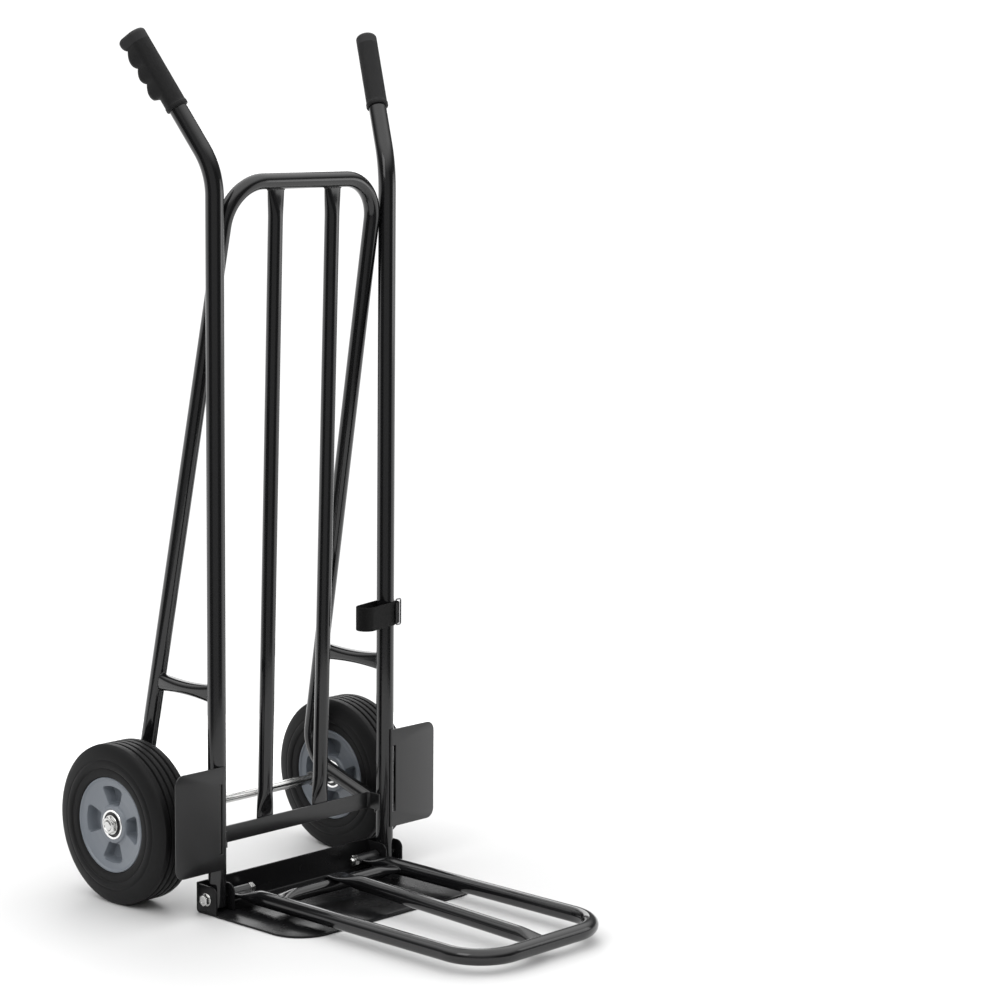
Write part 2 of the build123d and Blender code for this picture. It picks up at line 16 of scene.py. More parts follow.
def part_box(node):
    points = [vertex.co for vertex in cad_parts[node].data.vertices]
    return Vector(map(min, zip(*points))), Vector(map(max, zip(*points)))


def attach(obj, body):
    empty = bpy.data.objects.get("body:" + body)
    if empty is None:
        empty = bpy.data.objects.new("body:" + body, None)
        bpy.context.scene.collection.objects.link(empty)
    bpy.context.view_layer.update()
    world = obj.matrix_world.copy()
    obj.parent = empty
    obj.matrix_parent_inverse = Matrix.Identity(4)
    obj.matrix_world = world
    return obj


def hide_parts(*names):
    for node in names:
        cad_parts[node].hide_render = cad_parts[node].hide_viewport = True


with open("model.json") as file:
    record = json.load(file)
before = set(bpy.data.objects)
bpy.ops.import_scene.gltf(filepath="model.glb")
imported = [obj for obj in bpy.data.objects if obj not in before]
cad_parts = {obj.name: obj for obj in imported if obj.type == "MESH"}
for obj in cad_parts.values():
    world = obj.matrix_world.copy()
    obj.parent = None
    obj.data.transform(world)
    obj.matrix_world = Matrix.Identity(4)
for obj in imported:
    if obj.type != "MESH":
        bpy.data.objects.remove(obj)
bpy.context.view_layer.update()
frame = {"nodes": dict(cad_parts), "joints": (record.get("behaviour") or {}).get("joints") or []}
MM = 0.001
SIDES = {"right": 1.0, "left": -1.0}
joints = {j["name"]: j for j in frame["joints"]}


def box(node):
    """Lowest and highest corner of a node, as two numpy arrays in metres."""
    low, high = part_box(node)
    return np.array(low), np.array(high)


# %% [markdown]
# ## Sizes read back from the frame
# A piece has to sit exactly where its node does. So the radii and centre lines that the nodes' boxes
# and the joints can give are measured here, and every other size is written out, in millimetres,
# where a piece needs it.

# %% Centre lines and radii
def mm(*values):
    """Millimetres as an array in metres."""
    return np.array(values, float) * MM


up_low, _ = box("upright_right")
_, hoop_high = box("rear_hoop")
nose_low, _ = box("nose_hoop")
toe_low, toe_high = box("toe_plate")
UPRIGHT_R = -up_low[1]
UPRIGHT_X = up_low[0] + UPRIGHT_R
HOOP_R = hoop_high[0] - UPRIGHT_X
RAIL_Y, RAIL_Z = -3 * MM, hoop_high[2] - HOOP_R
AXLE = np.array(joints["wheel_right_spin"]["pos_m"])
PIVOT_Z = joints["nose_fold"]["pos_m"][2]
NOSE_R = PIVOT_Z - nose_low[2]
NOSE_Y = nose_low[1] + NOSE_R
TOE_HALF = toe_high[0]
print(f"upright tube {2 * UPRIGHT_R / MM:.1f} mm, hoop tube {2 * HOOP_R / MM:.1f} mm")
print("wheel centre", AXLE.round(4).tolist())

# %% [markdown]
# ## Camera
# The camera stands in front and to the left, a little under handle height, with a long lens. Its own
# three directions are worked out from how far it is turned, dipped and rolled, and become the
# rows of its matrix. Colours are shown with the plain view transform, so white paper stays white.

# %% Camera
EYE = Vector((-3.0610, -3.2616, 1.2797))
TURN, DIP, ROLL = radians(-47.066), radians(-8.399), radians(0.583)
LENS, SENSOR = 105.48, 36
ahead = Vector((-sin(TURN) * cos(DIP), cos(TURN) * cos(DIP), sin(DIP)))
level = Vector((cos(TURN), sin(TURN), 0))
above = level.cross(ahead)
camera_data = bpy.data.cameras.new("camera")
camera_data.lens, camera_data.sensor_width = LENS, SENSOR
camera = bpy.data.objects.new("camera", camera_data)
facing = Matrix((level * cos(ROLL) + above * sin(ROLL), above * cos(ROLL) - level * sin(ROLL), -ahead))
camera.matrix_world = Matrix.Translation(EYE) @ facing.transposed().to_4x4()
bpy.context.scene.collection.objects.link(camera)
bpy.context.scene.camera = camera
bpy.context.scene.view_settings.view_transform = "Standard"

print("camera is", round(EYE.length, 2), "m from the foot of the truck")

# %% [markdown]
# ## Floor
# The floor is a disc, only a little wider than the truck. A gloss black tube mirrors what lies round
# it, and an endless white floor would be seen in every tube and wash the black out.

# %% Floor
FLOOR_R, FLOOR_SIDES = 1.35, 96
FLOOR_MIDDLE_Y, FLOOR_DROP = -0.1, 0.0006
turn = np.linspace(0, 2 * pi, FLOOR_SIDES, endpoint=False)
floor_y = FLOOR_R * np.sin(turn) + FLOOR_MIDDLE_Y
floor_rim = np.stack([FLOOR_R * np.cos(turn), floor_y, np.zeros(FLOOR_SIDES)], -1)
floor_mesh = bpy.data.meshes.new("floor")
floor_mesh.from_pydata(floor_rim.tolist(), [], [list(range(FLOOR_SIDES))])
floor = bpy.data.objects.new("floor", floor_mesh)
floor.location.z = -FLOOR_DROP
bpy.context.scene.collection.objects.link(floor)
print("floor is", 2 * FLOOR_R, "m across")

# %% [markdown]
# ## Three helpers for nodes
# The sky and all the finishes are node trees, and three kinds of node come up in each of them: a sum
# or product, a ramp between two values, and a mix of two colours. Each gets a short function.

# %% Node helpers
def maths(tree, operation, a, b):
    """A Math node, for sockets or plain numbers."""
    n = tree.nodes.new("ShaderNodeMath")
    n.operation = operation
    for k, value in enumerate((a, b)):
        if isinstance(value, (int, float)):
            n.inputs[k].default_value = value
        else:
            tree.links.new(value, n.inputs[k])
    return n.outputs[0]


def ramp(tree, value, start, end, low=0.0, high=1.0, smooth=False):
    """A Map Range node: low where value is start, high where it is end, and between them a straight
    line or the smooth step 3 q^2 - 2 q^3."""
    n = tree.nodes.new("ShaderNodeMapRange")
    n.interpolation_type = "SMOOTHSTEP" if smooth else "LINEAR"
    for label, number in (("From Min", start), ("From Max", end), ("To Min", low), ("To Max", high)):
        n.inputs[label].default_value = number
    tree.links.new(value, n.inputs["Value"])
    return n.outputs[0]


def mix_colours(tree, factor, a, b):
    """A colour Mix node, from a at factor 0 to b at factor 1. Each is a plain colour or a socket."""
    n = tree.nodes.new("ShaderNodeMix")
    n.data_type = "RGBA"
    tree.links.new(factor, n.inputs["Factor"])
    for label, value in (("A", a), ("B", b)):
        if isinstance(value, tuple):
            n.inputs[label].default_value = (*value, 1)
        else:
            tree.links.new(value, n.inputs[label])
    return n.outputs["Result"]


print("helpers ready: maths, ramp, mix_colours")

# %% [markdown]
# ## Sky
# Gloss black tube is drawn mostly by the pale edges that it mirrors, so the light round it is a dome
# with bands: bright overhead, a bright low band behind the truck and at its sides, and a dimmer patch
# where the camera stands. It is dark between them. The camera itself sees plain white paper.

# %% Sky
SKY_FRONT, SKY_NEAR, SKY_BEHIND, SKY_TOP = 0.10, 0.35, 1.35, 1.9
PAPER = 1.1
WHITE = (1, 1, 1, 1)


def unit_flat(v):
    """The part of a direction that is level, scaled to length one."""
    size = (v.x ** 2 + v.y ** 2) ** 0.5
    return v.x / size, v.y / size


world = bpy.data.worlds.new("studio")
world.use_nodes = True
bpy.context.scene.world = world
sky = world.node_tree
sky.nodes.clear()
ray_way = sky.nodes.new("ShaderNodeTexCoord").outputs["Generated"]
ray_parts = sky.nodes.new("ShaderNodeSeparateXYZ")
sky.links.new(ray_way, ray_parts.inputs[0])
climb = ray_parts.outputs["Z"]
away = sky.nodes.new("ShaderNodeVectorMath")
away.operation = "DOT_PRODUCT"
away.inputs[1].default_value = (*unit_flat(ahead), 0.0)
sky.links.new(ray_way, away.inputs[0])

behind_glow = ramp(sky, away.outputs["Value"], -0.32, -0.10, 0.0, SKY_BEHIND, smooth=True)
low_glow = maths(sky, "MULTIPLY", behind_glow, ramp(sky, climb, 0.02, 0.14, 1.0, 0.06))
top_glow = ramp(sky, climb, 0.30, 0.75, 0.0, SKY_TOP, smooth=True)
toward = maths(sky, "MULTIPLY", away.outputs["Value"], -1.0)
near_glow = ramp(sky, toward, 0.72, 0.92, 0.0, SKY_NEAR, smooth=True)
glow = maths(sky, "ADD", maths(sky, "ADD", top_glow, low_glow), near_glow)

dome = sky.nodes.new("ShaderNodeBackground")
dome.inputs["Color"].default_value = WHITE
sky.links.new(maths(sky, "ADD", glow, SKY_FRONT), dome.inputs["Strength"])
paper = sky.nodes.new("ShaderNodeBackground")
paper.inputs["Color"].default_value = WHITE
paper.inputs["Strength"].default_value = PAPER
ray_kind = sky.nodes.new("ShaderNodeLightPath")
choose = sky.nodes.new("ShaderNodeMixShader")
sky.links.new(ray_kind.outputs["Is Camera Ray"], choose.inputs[0])
sky.links.new(dome.outputs[0], choose.inputs[1])
sky.links.new(paper.outputs[0], choose.inputs[2])
sky_out = sky.nodes.new("ShaderNodeOutputWorld")
sky.links.new(choose.outputs[0], sky_out.inputs[0])
print("sky strength", SKY_FRONT, "in front,", SKY_BEHIND, "behind,", SKY_TOP, "overhead")

# %% [markdown]
# ## Softboxes
# Three large area lights add shape and soft shadows: a key light on the truck's left, a rim light
# behind it on its right, and a weak fill light at its front right, for the guards and the toe plate.

# %% Softboxes
AIM = Vector((0, 0, 0.5))


def softbox(name, place, size, power):
    """A large square area light that faces the middle of the truck."""
    data = bpy.data.lights.new(name, "AREA")
    data.size, data.energy = size, power
    lamp = bpy.data.objects.new(name, data)
    lamp.location = place
    lamp.rotation_euler = (AIM - Vector(place)).to_track_quat("-Z", "Y").to_euler()
    bpy.context.scene.collection.objects.link(lamp)
    print(name, "light,", size, "m wide,", power, "W")


softbox("key", (-3.2, -0.6, 2.6), 1.6, 20)
softbox("rim", (2.2, 2.8, 2.0), 1.8, 30)
softbox("fill", (2.3, -1.9, 1.1), 1.1, 7)

# %% [markdown]
# ## Building meshes from grids of points
# Every piece below is one or more grids: rows of closed rings of points. A tube's rows run along its
# path, and a turned piece's rows run along its profile. One function joins the points into faces,
# turns them outward by the sign of the enclosed volume, and gives the piece to its body. Modelling
# by hand or with modifiers would give the same shapes, but a formula keeps every size exact.

# %% Grid to mesh
class Grid:
    """Rows of closed rings of points. wrap joins the last row to the first. Without it, a face closes
    each end. uv is one pair of numbers for each point, or nothing."""

    def __init__(self, points, wrap=False, uv=None):
        self.points, self.wrap, self.uv = np.asarray(points, float), wrap, uv


def grid_faces(grid):
    """Quads between neighbouring rings, and the end faces."""
    rows, count = grid.points.shape[:2]
    index = np.arange(rows * count).reshape(rows, count)
    turn = np.roll(index, -1, axis=1)
    if grid.wrap:
        corners = index, turn, np.roll(turn, -1, axis=0), np.roll(index, -1, axis=0)
    else:
        corners = index[:-1], turn[:-1], turn[1:], index[1:]
    faces = np.stack(corners, -1).reshape(-1, 4).tolist()
    if not grid.wrap:
        faces += [index[0][::-1].tolist(), index[-1].tolist()]
    return faces


def signed_volume(points, faces):
    """Sum of the tetrahedra from the origin to each face's fan of triangles."""
    quads = np.array([f for f in faces if len(f) == 4])
    a, b, c, d = (points[quads[:, k]] for k in range(4))
    total_volume = (np.cross(a, b) * c).sum() + (np.cross(a, c) * d).sum()
    for f in (f for f in faces if len(f) != 4):
        ring = points[f]
        total_volume += (np.cross(ring[0], ring[1:-1]) * ring[2:]).sum()
    return total_volume


made = {}


def add_piece(name, grids, body, material, stands_for=(), sharp=40):
    """Make one object from its grids, shade it smooth except at sharp edges, and hand it to the frame."""
    points, faces, uvs = [], [], []
    for grid in grids:
        flat = grid.points.reshape(-1, 3)
        own = grid_faces(grid)
        if signed_volume(flat - flat.mean(0), own) < 0:
            own = [f[::-1] for f in own]
        first = sum(len(p) for p in points)
        points.append(flat)
        faces += [[first + k for k in f] for f in own]
        uvs.append(np.zeros((len(flat), 2)) if grid.uv is None else np.asarray(grid.uv, float).reshape(-1, 2))
    mesh = bpy.data.meshes.new(name)
    mesh.from_pydata(np.concatenate(points).tolist(), [], faces)
    if any(g.uv is not None for g in grids):
        layer = mesh.uv_layers.new(name="UVMap")
        corner = np.empty(len(mesh.loops), np.int32)
        mesh.loops.foreach_get("vertex_index", corner)
        layer.data.foreach_set("uv", np.concatenate(uvs)[corner].astype(np.float32).ravel())
    mesh.shade_smooth()
    mesh.set_sharp_from_angle(angle=radians(sharp))
    mesh.materials.append(material)
    piece = bpy.data.objects.new(name, mesh)
    bpy.context.scene.collection.objects.link(piece)
    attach(piece, body)
    if stands_for:
        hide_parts(*stands_for)
    made[name] = len(mesh.polygons)


def mirrored(grids, side):
    """The same grids, or their mirror image about X = 0. add_piece turns the faces outward again."""
    flip = np.array([side, 1.0, 1.0])
    return [Grid(g.points * flip, g.wrap, g.uv) for g in grids]


def on_both_sides(grids):
    """The grids and their mirror image together, for a piece that is a set of separate bodies."""
    return mirrored(grids, 1.0) + mirrored(grids, -1.0)


def told(start):
    """Say how many pieces and faces there are with names that start so."""
    faces = [count for name, count in made.items() if name.startswith(start)]
    print(f"{start}: {len(faces)} pieces, {sum(faces)} faces")


print("a grid of 3 rings of 8 points has", len(grid_faces(Grid(np.zeros((3, 8, 3))))), "faces with its ends")

# %% [markdown]
# ## Paths
# A bent tube follows straight runs joined by arcs, as a bending machine makes them. The path gives
# points and directions, and a second direction is carried along it so that the section never twists.

# %% Paths
def unit(v):
    """Vectors scaled to length one."""
    v = np.asarray(v, float)
    return v / np.linalg.norm(v, axis=-1, keepdims=True)


def rounded_path(corners, radii, arc_steps=14, run=0.06):
    """Straight runs joined by arcs tangent to both: points and unit tangents along the whole path.
    An arc of radius r at a corner starts r / tan(half the corner's angle) before it."""
    corners = [np.asarray(c, float) for c in corners]
    points, tangents, start = [], [], corners[0]

    def straight(a, b, ends):
        steps = max(2, int(np.linalg.norm(b - a) / run) + 1)
        share = np.linspace(0, 1, steps)[: None if ends else -1]
        points.append(a + share[:, None] * (b - a))
        tangents.append(np.repeat(unit(b - a)[None], len(share), 0))

    for before, corner, after, r in zip(corners, corners[1:], corners[2:], radii):
        a, b = unit(before - corner), unit(after - corner)
        half = np.arccos(np.clip(a @ b, -1, 1)) / 2
        reach = r / tan(half)
        centre = corner + unit(a + b) * r / sin(half)
        straight(start, corner + a * reach, False)
        spoke = corner + a * reach - centre
        angle = np.linspace(0, pi - 2 * half, arc_steps)[:-1, None]
        points.append(centre + spoke * np.cos(angle) - a * r * np.sin(angle))
        tangents.append(-a * np.cos(angle) - unit(spoke) * np.sin(angle))
        start = corner + b * reach
    straight(start, corners[-1], True)
    return np.concatenate(points), np.concatenate(tangents)


def carried(tangents, wide):
    """The direction wide, carried along the path without twist: each station keeps the last one's
    direction, less the part of it along the new tangent."""
    ways = [unit(np.asarray(wide, float) - (tangents[0] @ wide) * tangents[0])]
    for tangent in tangents[1:]:
        ways.append(unit(ways[-1] - (ways[-1] @ tangent) * tangent))
    return np.array(ways)


bent, _ = rounded_path([mm(0, 0, 0), mm(100, 0, 0), mm(100, 100, 0)], mm(40))
print("a path with one 40 mm bend takes", len(bent), "stations")

# %% [markdown]
# ## Sections carried along a path
# Two sections are enough for the truck: a superellipse, which is a round tube at power 2 and a pressed
# one at a higher power, and a rounded rectangle for flat bar, sheet and strip.

# %% Sections
def rings(centres, tangents, wide, a, b=None, power=2.0, count=40):
    """A ring round each centre: |x/a|^power + |y/b|^power = 1, with x along wide and y square to it and
    to the tangent. power 2 is an ellipse, and a larger one has flatter sides."""
    centres, tangents = np.asarray(centres, float), np.asarray(tangents, float)
    e1 = carried(tangents, np.asarray(wide, float)) if np.ndim(wide) == 1 else wide
    e2 = np.cross(tangents, e1)
    t = np.linspace(0, 2 * pi, count, endpoint=False)
    a, b, power = (np.broadcast_to(v, len(centres))[:, None] for v in (a, a if b is None else b, power))
    p = 2 / power
    x = np.sign(np.cos(t)) * np.abs(np.cos(t)) ** p * a
    y = np.sign(np.sin(t)) * np.abs(np.sin(t)) ** p * b
    return centres[:, None] + x[..., None] * e1[:, None] + y[..., None] * e2[:, None]


def slab_rings(centres, tangents, wide, half_width, half_thick, edge):
    """A rounded rectangle round each centre, half_width along wide and half_thick square to it, with
    corners of radius edge. Each quarter of the ring is a corner's centre plus edge times a direction."""
    t = np.linspace(0, 2 * pi, 20, endpoint=False).reshape(4, 5) + pi / 40
    sign = np.array([[1, 1], [-1, 1], [-1, -1], [1, -1]])
    half = np.stack(np.broadcast_arrays(half_width, half_thick, edge, np.zeros(len(centres)))[:3], -1)
    middle = sign[None] * (half[:, None, :2] - half[:, None, 2:])
    loop = middle[:, :, None] + half[:, None, None, 2:] * np.stack([np.cos(t), np.sin(t)], -1)
    loop = loop.reshape(len(centres), 20, 2)
    e1 = carried(tangents, np.asarray(wide, float))
    return centres[:, None] + loop[..., :1] * e1[:, None] + loop[..., 1:] * np.cross(tangents, e1)[:, None]


ring = rings([[0, 0, 0]], [[0, 0, 1]], np.array([1.0, 0, 0]), 0.014)
print("a ring of radius 14 mm measures", round(float(np.ptp(ring[..., 0])) / MM, 1), "mm across")

# %% [markdown]
# ## Tubes, plain and pressed
# A cut tube end shows its wall, so an open end turns over a small lip and runs back down the bore. A
# pressed end keeps the tube's perimeter, so the flatter it is, the wider it gets.

# %% Tubes
LIP, BORE_SHOWN = 0.0006, 0.05
END_ROUND = 0.0008


def tube(corners, radii, r, wide, open_start=0.0, count=40, arc_steps=14):
    """A round tube along a rounded path. open_start is the wall's thickness at an open first end, which
    turns over a lip and goes back down the bore."""
    points, tangents = rounded_path(corners, radii, arc_steps)
    size = np.full(len(points), r)
    if open_start:
        depth = np.array([[BORE_SHOWN], [LIP], [0.0], [0.0], [LIP]])
        bore = r - open_start
        points = np.concatenate([points[0] + depth * tangents[0], points[1:]])
        tangents = np.concatenate([np.repeat(tangents[:1], 5, 0), tangents[1:]])
        size = np.concatenate([[bore, bore, bore + LIP, r - LIP, r], size[1:]])
    return Grid(rings(points, tangents, wide, size, count=count))


def pressed_tube(corners, radii, wide, r, flat, rise, count=56, keep_flat=(0.2, 0.2)):
    """A tube with its ends pressed flat. Its perimeter stays nearly the same, so where the tube is f
    thick it is 1.57 r - 0.57 f / 2 wide each way. The press q is 1 for the first part of the length
    rise, then fades to 0 by the smooth step 3 q^2 - 2 q^3."""
    points, tangents = rounded_path(corners, radii, run=0.004)
    s = np.concatenate([[0], np.cumsum(np.linalg.norm(np.diff(points, axis=0), axis=1))])
    to_end = np.minimum(s, s[-1] - s)
    near_start = s < s[-1] / 2
    length, kept = np.where(near_start, rise[0], rise[1]), np.where(near_start, keep_flat[0], keep_flat[1])
    q = np.clip(1 - (to_end - kept * length) / (length * (1 - kept)), 0, 1)
    q = q * q * (3 - 2 * q)
    broad = 1.57 * r - 0.57 * flat / 2
    a, b = r + (broad - r) * q, r + (flat / 2 - r) * q
    a[[0, -1]] -= END_ROUND
    b[[0, -1]] -= END_ROUND
    return Grid(rings(points, tangents, wide, a, b, 2 + 1.6 * q, count))


print("a 23 mm tube pressed to 7 mm is", round((1.57 * 11.5 - 0.57 * 3.5) * 2, 1), "mm wide")

# %% [markdown]
# ## Weld beads
# Where one tube runs into another, the weld follows the curve in which the two surfaces meet. That
# curve has a formula, so the bead is a thin ring carried round it, swelling at each ripple.

# %% Weld bead
RIPPLE, SWELL = 0.0032, 0.16
BACK = 0.1


def weld(at, way, wide, a, b, post_at, post_way, post_r, size=0.0021, count=120):
    """A weld bead where a tube meets a round post. Each line along the tube's a by b oval surface meets
    the post where its distance from the post's line is post_r, which is a quadratic in the distance
    along way. The bead is a ring carried round that curve, swelling with each ripple."""
    at, way, post_at, post_way = np.asarray(at, float), unit(way), np.asarray(post_at, float), unit(post_way)
    e1 = unit(np.asarray(wide, float) - (way @ wide) * way)
    e2 = np.cross(way, e1)
    t = np.linspace(0, 2 * pi, count, endpoint=False)[:, None]
    out = unit(np.cos(t) / a * e1 + np.sin(t) / b * e2)
    start = at - BACK * way + a * np.cos(t) * e1 + b * np.sin(t) * e2
    off = start - post_at
    off = off - (off @ post_way)[:, None] * post_way
    across = way - (way @ post_way) * post_way
    half_b, c = off @ across, (off * off).sum(1) - post_r ** 2
    root = np.sqrt(np.maximum(half_b ** 2 - (across @ across) * c, 0))
    curve = start + ((-half_b - root) / (across @ across))[:, None] * way
    tangent = unit(np.roll(curve, -1, 0) - np.roll(curve, 1, 0))
    ripple = size * (1 + SWELL * np.sin(t[:, 0] * round(2 * pi * (a + b) / 2 / RIPPLE)))
    side = unit(out - (out * tangent).sum(1)[:, None] * tangent)
    return Grid(rings(curve, tangent, side, ripple, count=10), wrap=True)


def straight_bead(start, end, size=0.0018, swell=0.14):
    """A weld bead along a straight line, its radius rippling along it and falling off at both ends."""
    start, end = np.asarray(start, float), np.asarray(end, float)
    steps = max(24, int(np.linalg.norm(end - start) / 0.0006))
    s = np.linspace(0, 1, steps)
    fall_off = np.minimum(1, 0.3 + 12 * np.minimum(s, 1 - s))
    size = size * (1 + swell * np.sin(s * np.linalg.norm(end - start) / RIPPLE * 2 * pi)) * fall_off
    ways = np.repeat(unit(end - start)[None], steps, 0)
    return Grid(rings(start + s[:, None] * (end - start), ways, (0.3, 0.4, 0.86), size, count=10))


print("weld ripples are", RIPPLE / MM, "mm apart")

# %% [markdown]
# ## Turned pieces and plates
# Wheels are outlines turned about the axle. A cut sheet is a band that goes round its own section, so
# its faces, its rounded edges and the walls of its hole all come from the same rows.

# %% Turned pieces and plates
def turned(profile, centre, wrap=True, count=96):
    """Turn an outline of (axial, radial) points about the X direction through centre."""
    profile = np.asarray(profile, float)
    t = np.linspace(0, 2 * pi, count, endpoint=False)
    x = np.repeat(profile[:, :1], count, 1)
    ring = np.stack([x, profile[:, 1:] * np.cos(t), profile[:, 1:] * np.sin(t)], -1)
    return Grid(ring + np.asarray(centre, float), wrap=wrap)


def rounded_box(low, high, corner, inset=0.0, steps=6):
    """Outline of a rectangle with a radius for each corner, drawn in by inset. The corners go
    (high, high), (low, high), (low, low), (high, low)."""
    corner = np.broadcast_to(corner, 4)
    signs = np.array([[1, 1], [-1, 1], [-1, -1], [1, -1]])
    low, high = np.asarray(low, float) + inset, np.asarray(high, float) - inset
    loop = []
    for k, (sign, r) in enumerate(zip(signs, corner)):
        r = max(r - inset, 1e-5)
        middle = np.where(sign > 0, high, low) - sign * r
        t = np.linspace(k * pi / 2, (k + 1) * pi / 2, steps)
        loop.append(middle + r * np.stack([np.cos(t), np.sin(t)], -1))
    return np.concatenate(loop)


def plate(outer, hole, thickness, place, edge=0.0005):
    """A flat plate with one hole, as a band that goes round its own section: out along the front,
    round the outer edge, back along the rear and through the hole. outer and hole each give their
    loop for an inset, and place maps (u, v, depth) to a point."""
    t = thickness / 2
    rows = [(hole(-edge), t), (outer(edge), t), (outer(edge * 0.3), t - edge * 0.3), (outer(0), t - edge),
            (outer(0), -t + edge), (outer(edge * 0.3), -t + edge * 0.3), (outer(edge), -t),
            (hole(-edge), -t), (hole(0), -t + edge), (hole(0), t - edge)]
    bands = [place(loop[:, 0], loop[:, 1], np.full(len(loop), depth)) for loop, depth in rows]
    return Grid(np.stack(bands), wrap=True)


print("a rounded rectangle's outline has", len(rounded_box((0, 0), (1, 1), 0.1)), "points")


# %% [markdown]
# ## Finishes
# Powder coat is not a flat black: under a lamp it has a fine orange peel, and its gloss changes a
# little over the surface. Those effects are shared, so each is a node group that a material sets to
# its own scale. Groups give only heights and masks, and the shader itself stays in the material.

# %% Shared effects
def effect_group(name, inputs, outputs):
    """An empty node group with float inputs, their defaults, and float outputs."""
    group = bpy.data.node_groups.new(name, "ShaderNodeTree")
    for label, value in inputs.items():
        socket = group.interface.new_socket(label, in_out="INPUT", socket_type="NodeSocketFloat")
        socket.default_value = value
    for label in outputs:
        group.interface.new_socket(label, in_out="OUTPUT", socket_type="NodeSocketFloat")
    enter, leave = group.nodes.new("NodeGroupInput"), group.nodes.new("NodeGroupOutput")
    return group, enter, leave


def noise_in(group, enter, coordinates, scale_input, detail, rough=0.5):
    """A noise texture whose scale comes from one of the group's inputs."""
    noise = group.nodes.new("ShaderNodeTexNoise")
    noise.inputs["Detail"].default_value, noise.inputs["Roughness"].default_value = detail, rough
    group.links.new(coordinates, noise.inputs["Vector"])
    group.links.new(enter.outputs[scale_input], noise.inputs["Scale"])
    return noise.outputs["Fac"]


def surface_group():
    """Fine: small bumps all over. Broad: slow patches, centred on zero, for gloss and colour."""
    scales = {"Fine scale": 900.0, "Broad scale": 14.0, "Grain scale": 4000.0}
    group, enter, leave = effect_group("surface variation", scales, ("Fine", "Broad", "Grain"))
    coordinates = group.nodes.new("ShaderNodeTexCoord").outputs["Object"]
    group.links.new(noise_in(group, enter, coordinates, "Fine scale", 2.0), leave.inputs["Fine"])
    broad = noise_in(group, enter, coordinates, "Broad scale", 4.0, 0.6)
    group.links.new(maths(group, "SUBTRACT", broad, 0.5), leave.inputs["Broad"])
    group.links.new(noise_in(group, enter, coordinates, "Grain scale", 1.0), leave.inputs["Grain"])
    return group


def weave_group():
    """A plain weave on a UV map in metres: warp and weft cross over and under, as the product of two
    sines, one along each thread."""
    group, enter, leave = effect_group("webbing weave", {"Threads per metre": 900.0}, ("Height",))
    uv = group.nodes.new("ShaderNodeTexCoord").outputs["UV"]
    parts = group.nodes.new("ShaderNodeSeparateXYZ")
    group.links.new(uv, parts.inputs[0])
    turns = maths(group, "MULTIPLY", enter.outputs["Threads per metre"], 2 * pi)
    warp, weft = (maths(group, "SINE", maths(group, "MULTIPLY", parts.outputs[k], turns), 0.0) for k in (0, 1))
    group.links.new(maths(group, "MULTIPLY", warp, weft), leave.inputs["Height"])
    return group


VARIATION, WEAVE = surface_group(), weave_group()


print("shared effects:", VARIATION.name + ",", WEAVE.name)

# %% [markdown]
# ## One recipe for every finish
# Each real surface here varies in the same three ways: its colour and gloss drift over a hand's
# breadth, it has a fine relief, and some have a still finer grain. One function builds that material,
# and the finishes differ in their values alone.

# %% Finish recipe
def finish(name, colour, rough, metal=0.0, colour_swing=0.15, rough_swing=0.1, fine=0.00001, grain=0.0,
           fine_scale=900.0, broad_scale=14.0, grain_scale=4000.0, ior=1.5, weave=0.0):
    """A Principled material. Broad patches shift its colour and roughness by the two swings, and fine,
    grain and weave are the heights in metres of its small bumps."""
    material = bpy.data.materials.new(name)
    material.use_nodes = True
    tree = material.node_tree
    shader = tree.nodes["Principled BSDF"]
    shader.inputs["Metallic"].default_value = metal
    shader.inputs["IOR"].default_value = ior
    vary = tree.nodes.new("ShaderNodeGroup")
    vary.node_tree = VARIATION
    scales = (("Fine scale", fine_scale), ("Broad scale", broad_scale), ("Grain scale", grain_scale))
    for label, value in scales:
        vary.inputs[label].default_value = value
    colour = np.array(colour)
    darker, paler = colour * (1 - colour_swing), np.minimum(colour * (1 + colour_swing), 1)
    patches = maths(tree, "ADD", vary.outputs["Broad"], 0.5)
    tree.links.new(mix_colours(tree, patches, tuple(darker), tuple(paler)), shader.inputs["Base Color"])
    gloss_shift = maths(tree, "MULTIPLY", vary.outputs["Broad"], 2 * rough_swing)
    tree.links.new(maths(tree, "ADD", gloss_shift, rough), shader.inputs["Roughness"])
    relief = maths(tree, "ADD", maths(tree, "MULTIPLY", vary.outputs["Fine"], fine),
                   maths(tree, "MULTIPLY", vary.outputs["Grain"], grain))
    if weave:
        cloth = tree.nodes.new("ShaderNodeGroup")
        cloth.node_tree = WEAVE
        relief = maths(tree, "ADD", relief, maths(tree, "MULTIPLY", cloth.outputs["Height"], weave))
    bump = tree.nodes.new("ShaderNodeBump")
    bump.inputs["Distance"].default_value = 1.0
    tree.links.new(relief, bump.inputs["Height"])
    tree.links.new(bump.outputs["Normal"], shader.inputs["Normal"])
    return material


print("a finish is a Principled shader with two swings and three heights of relief")
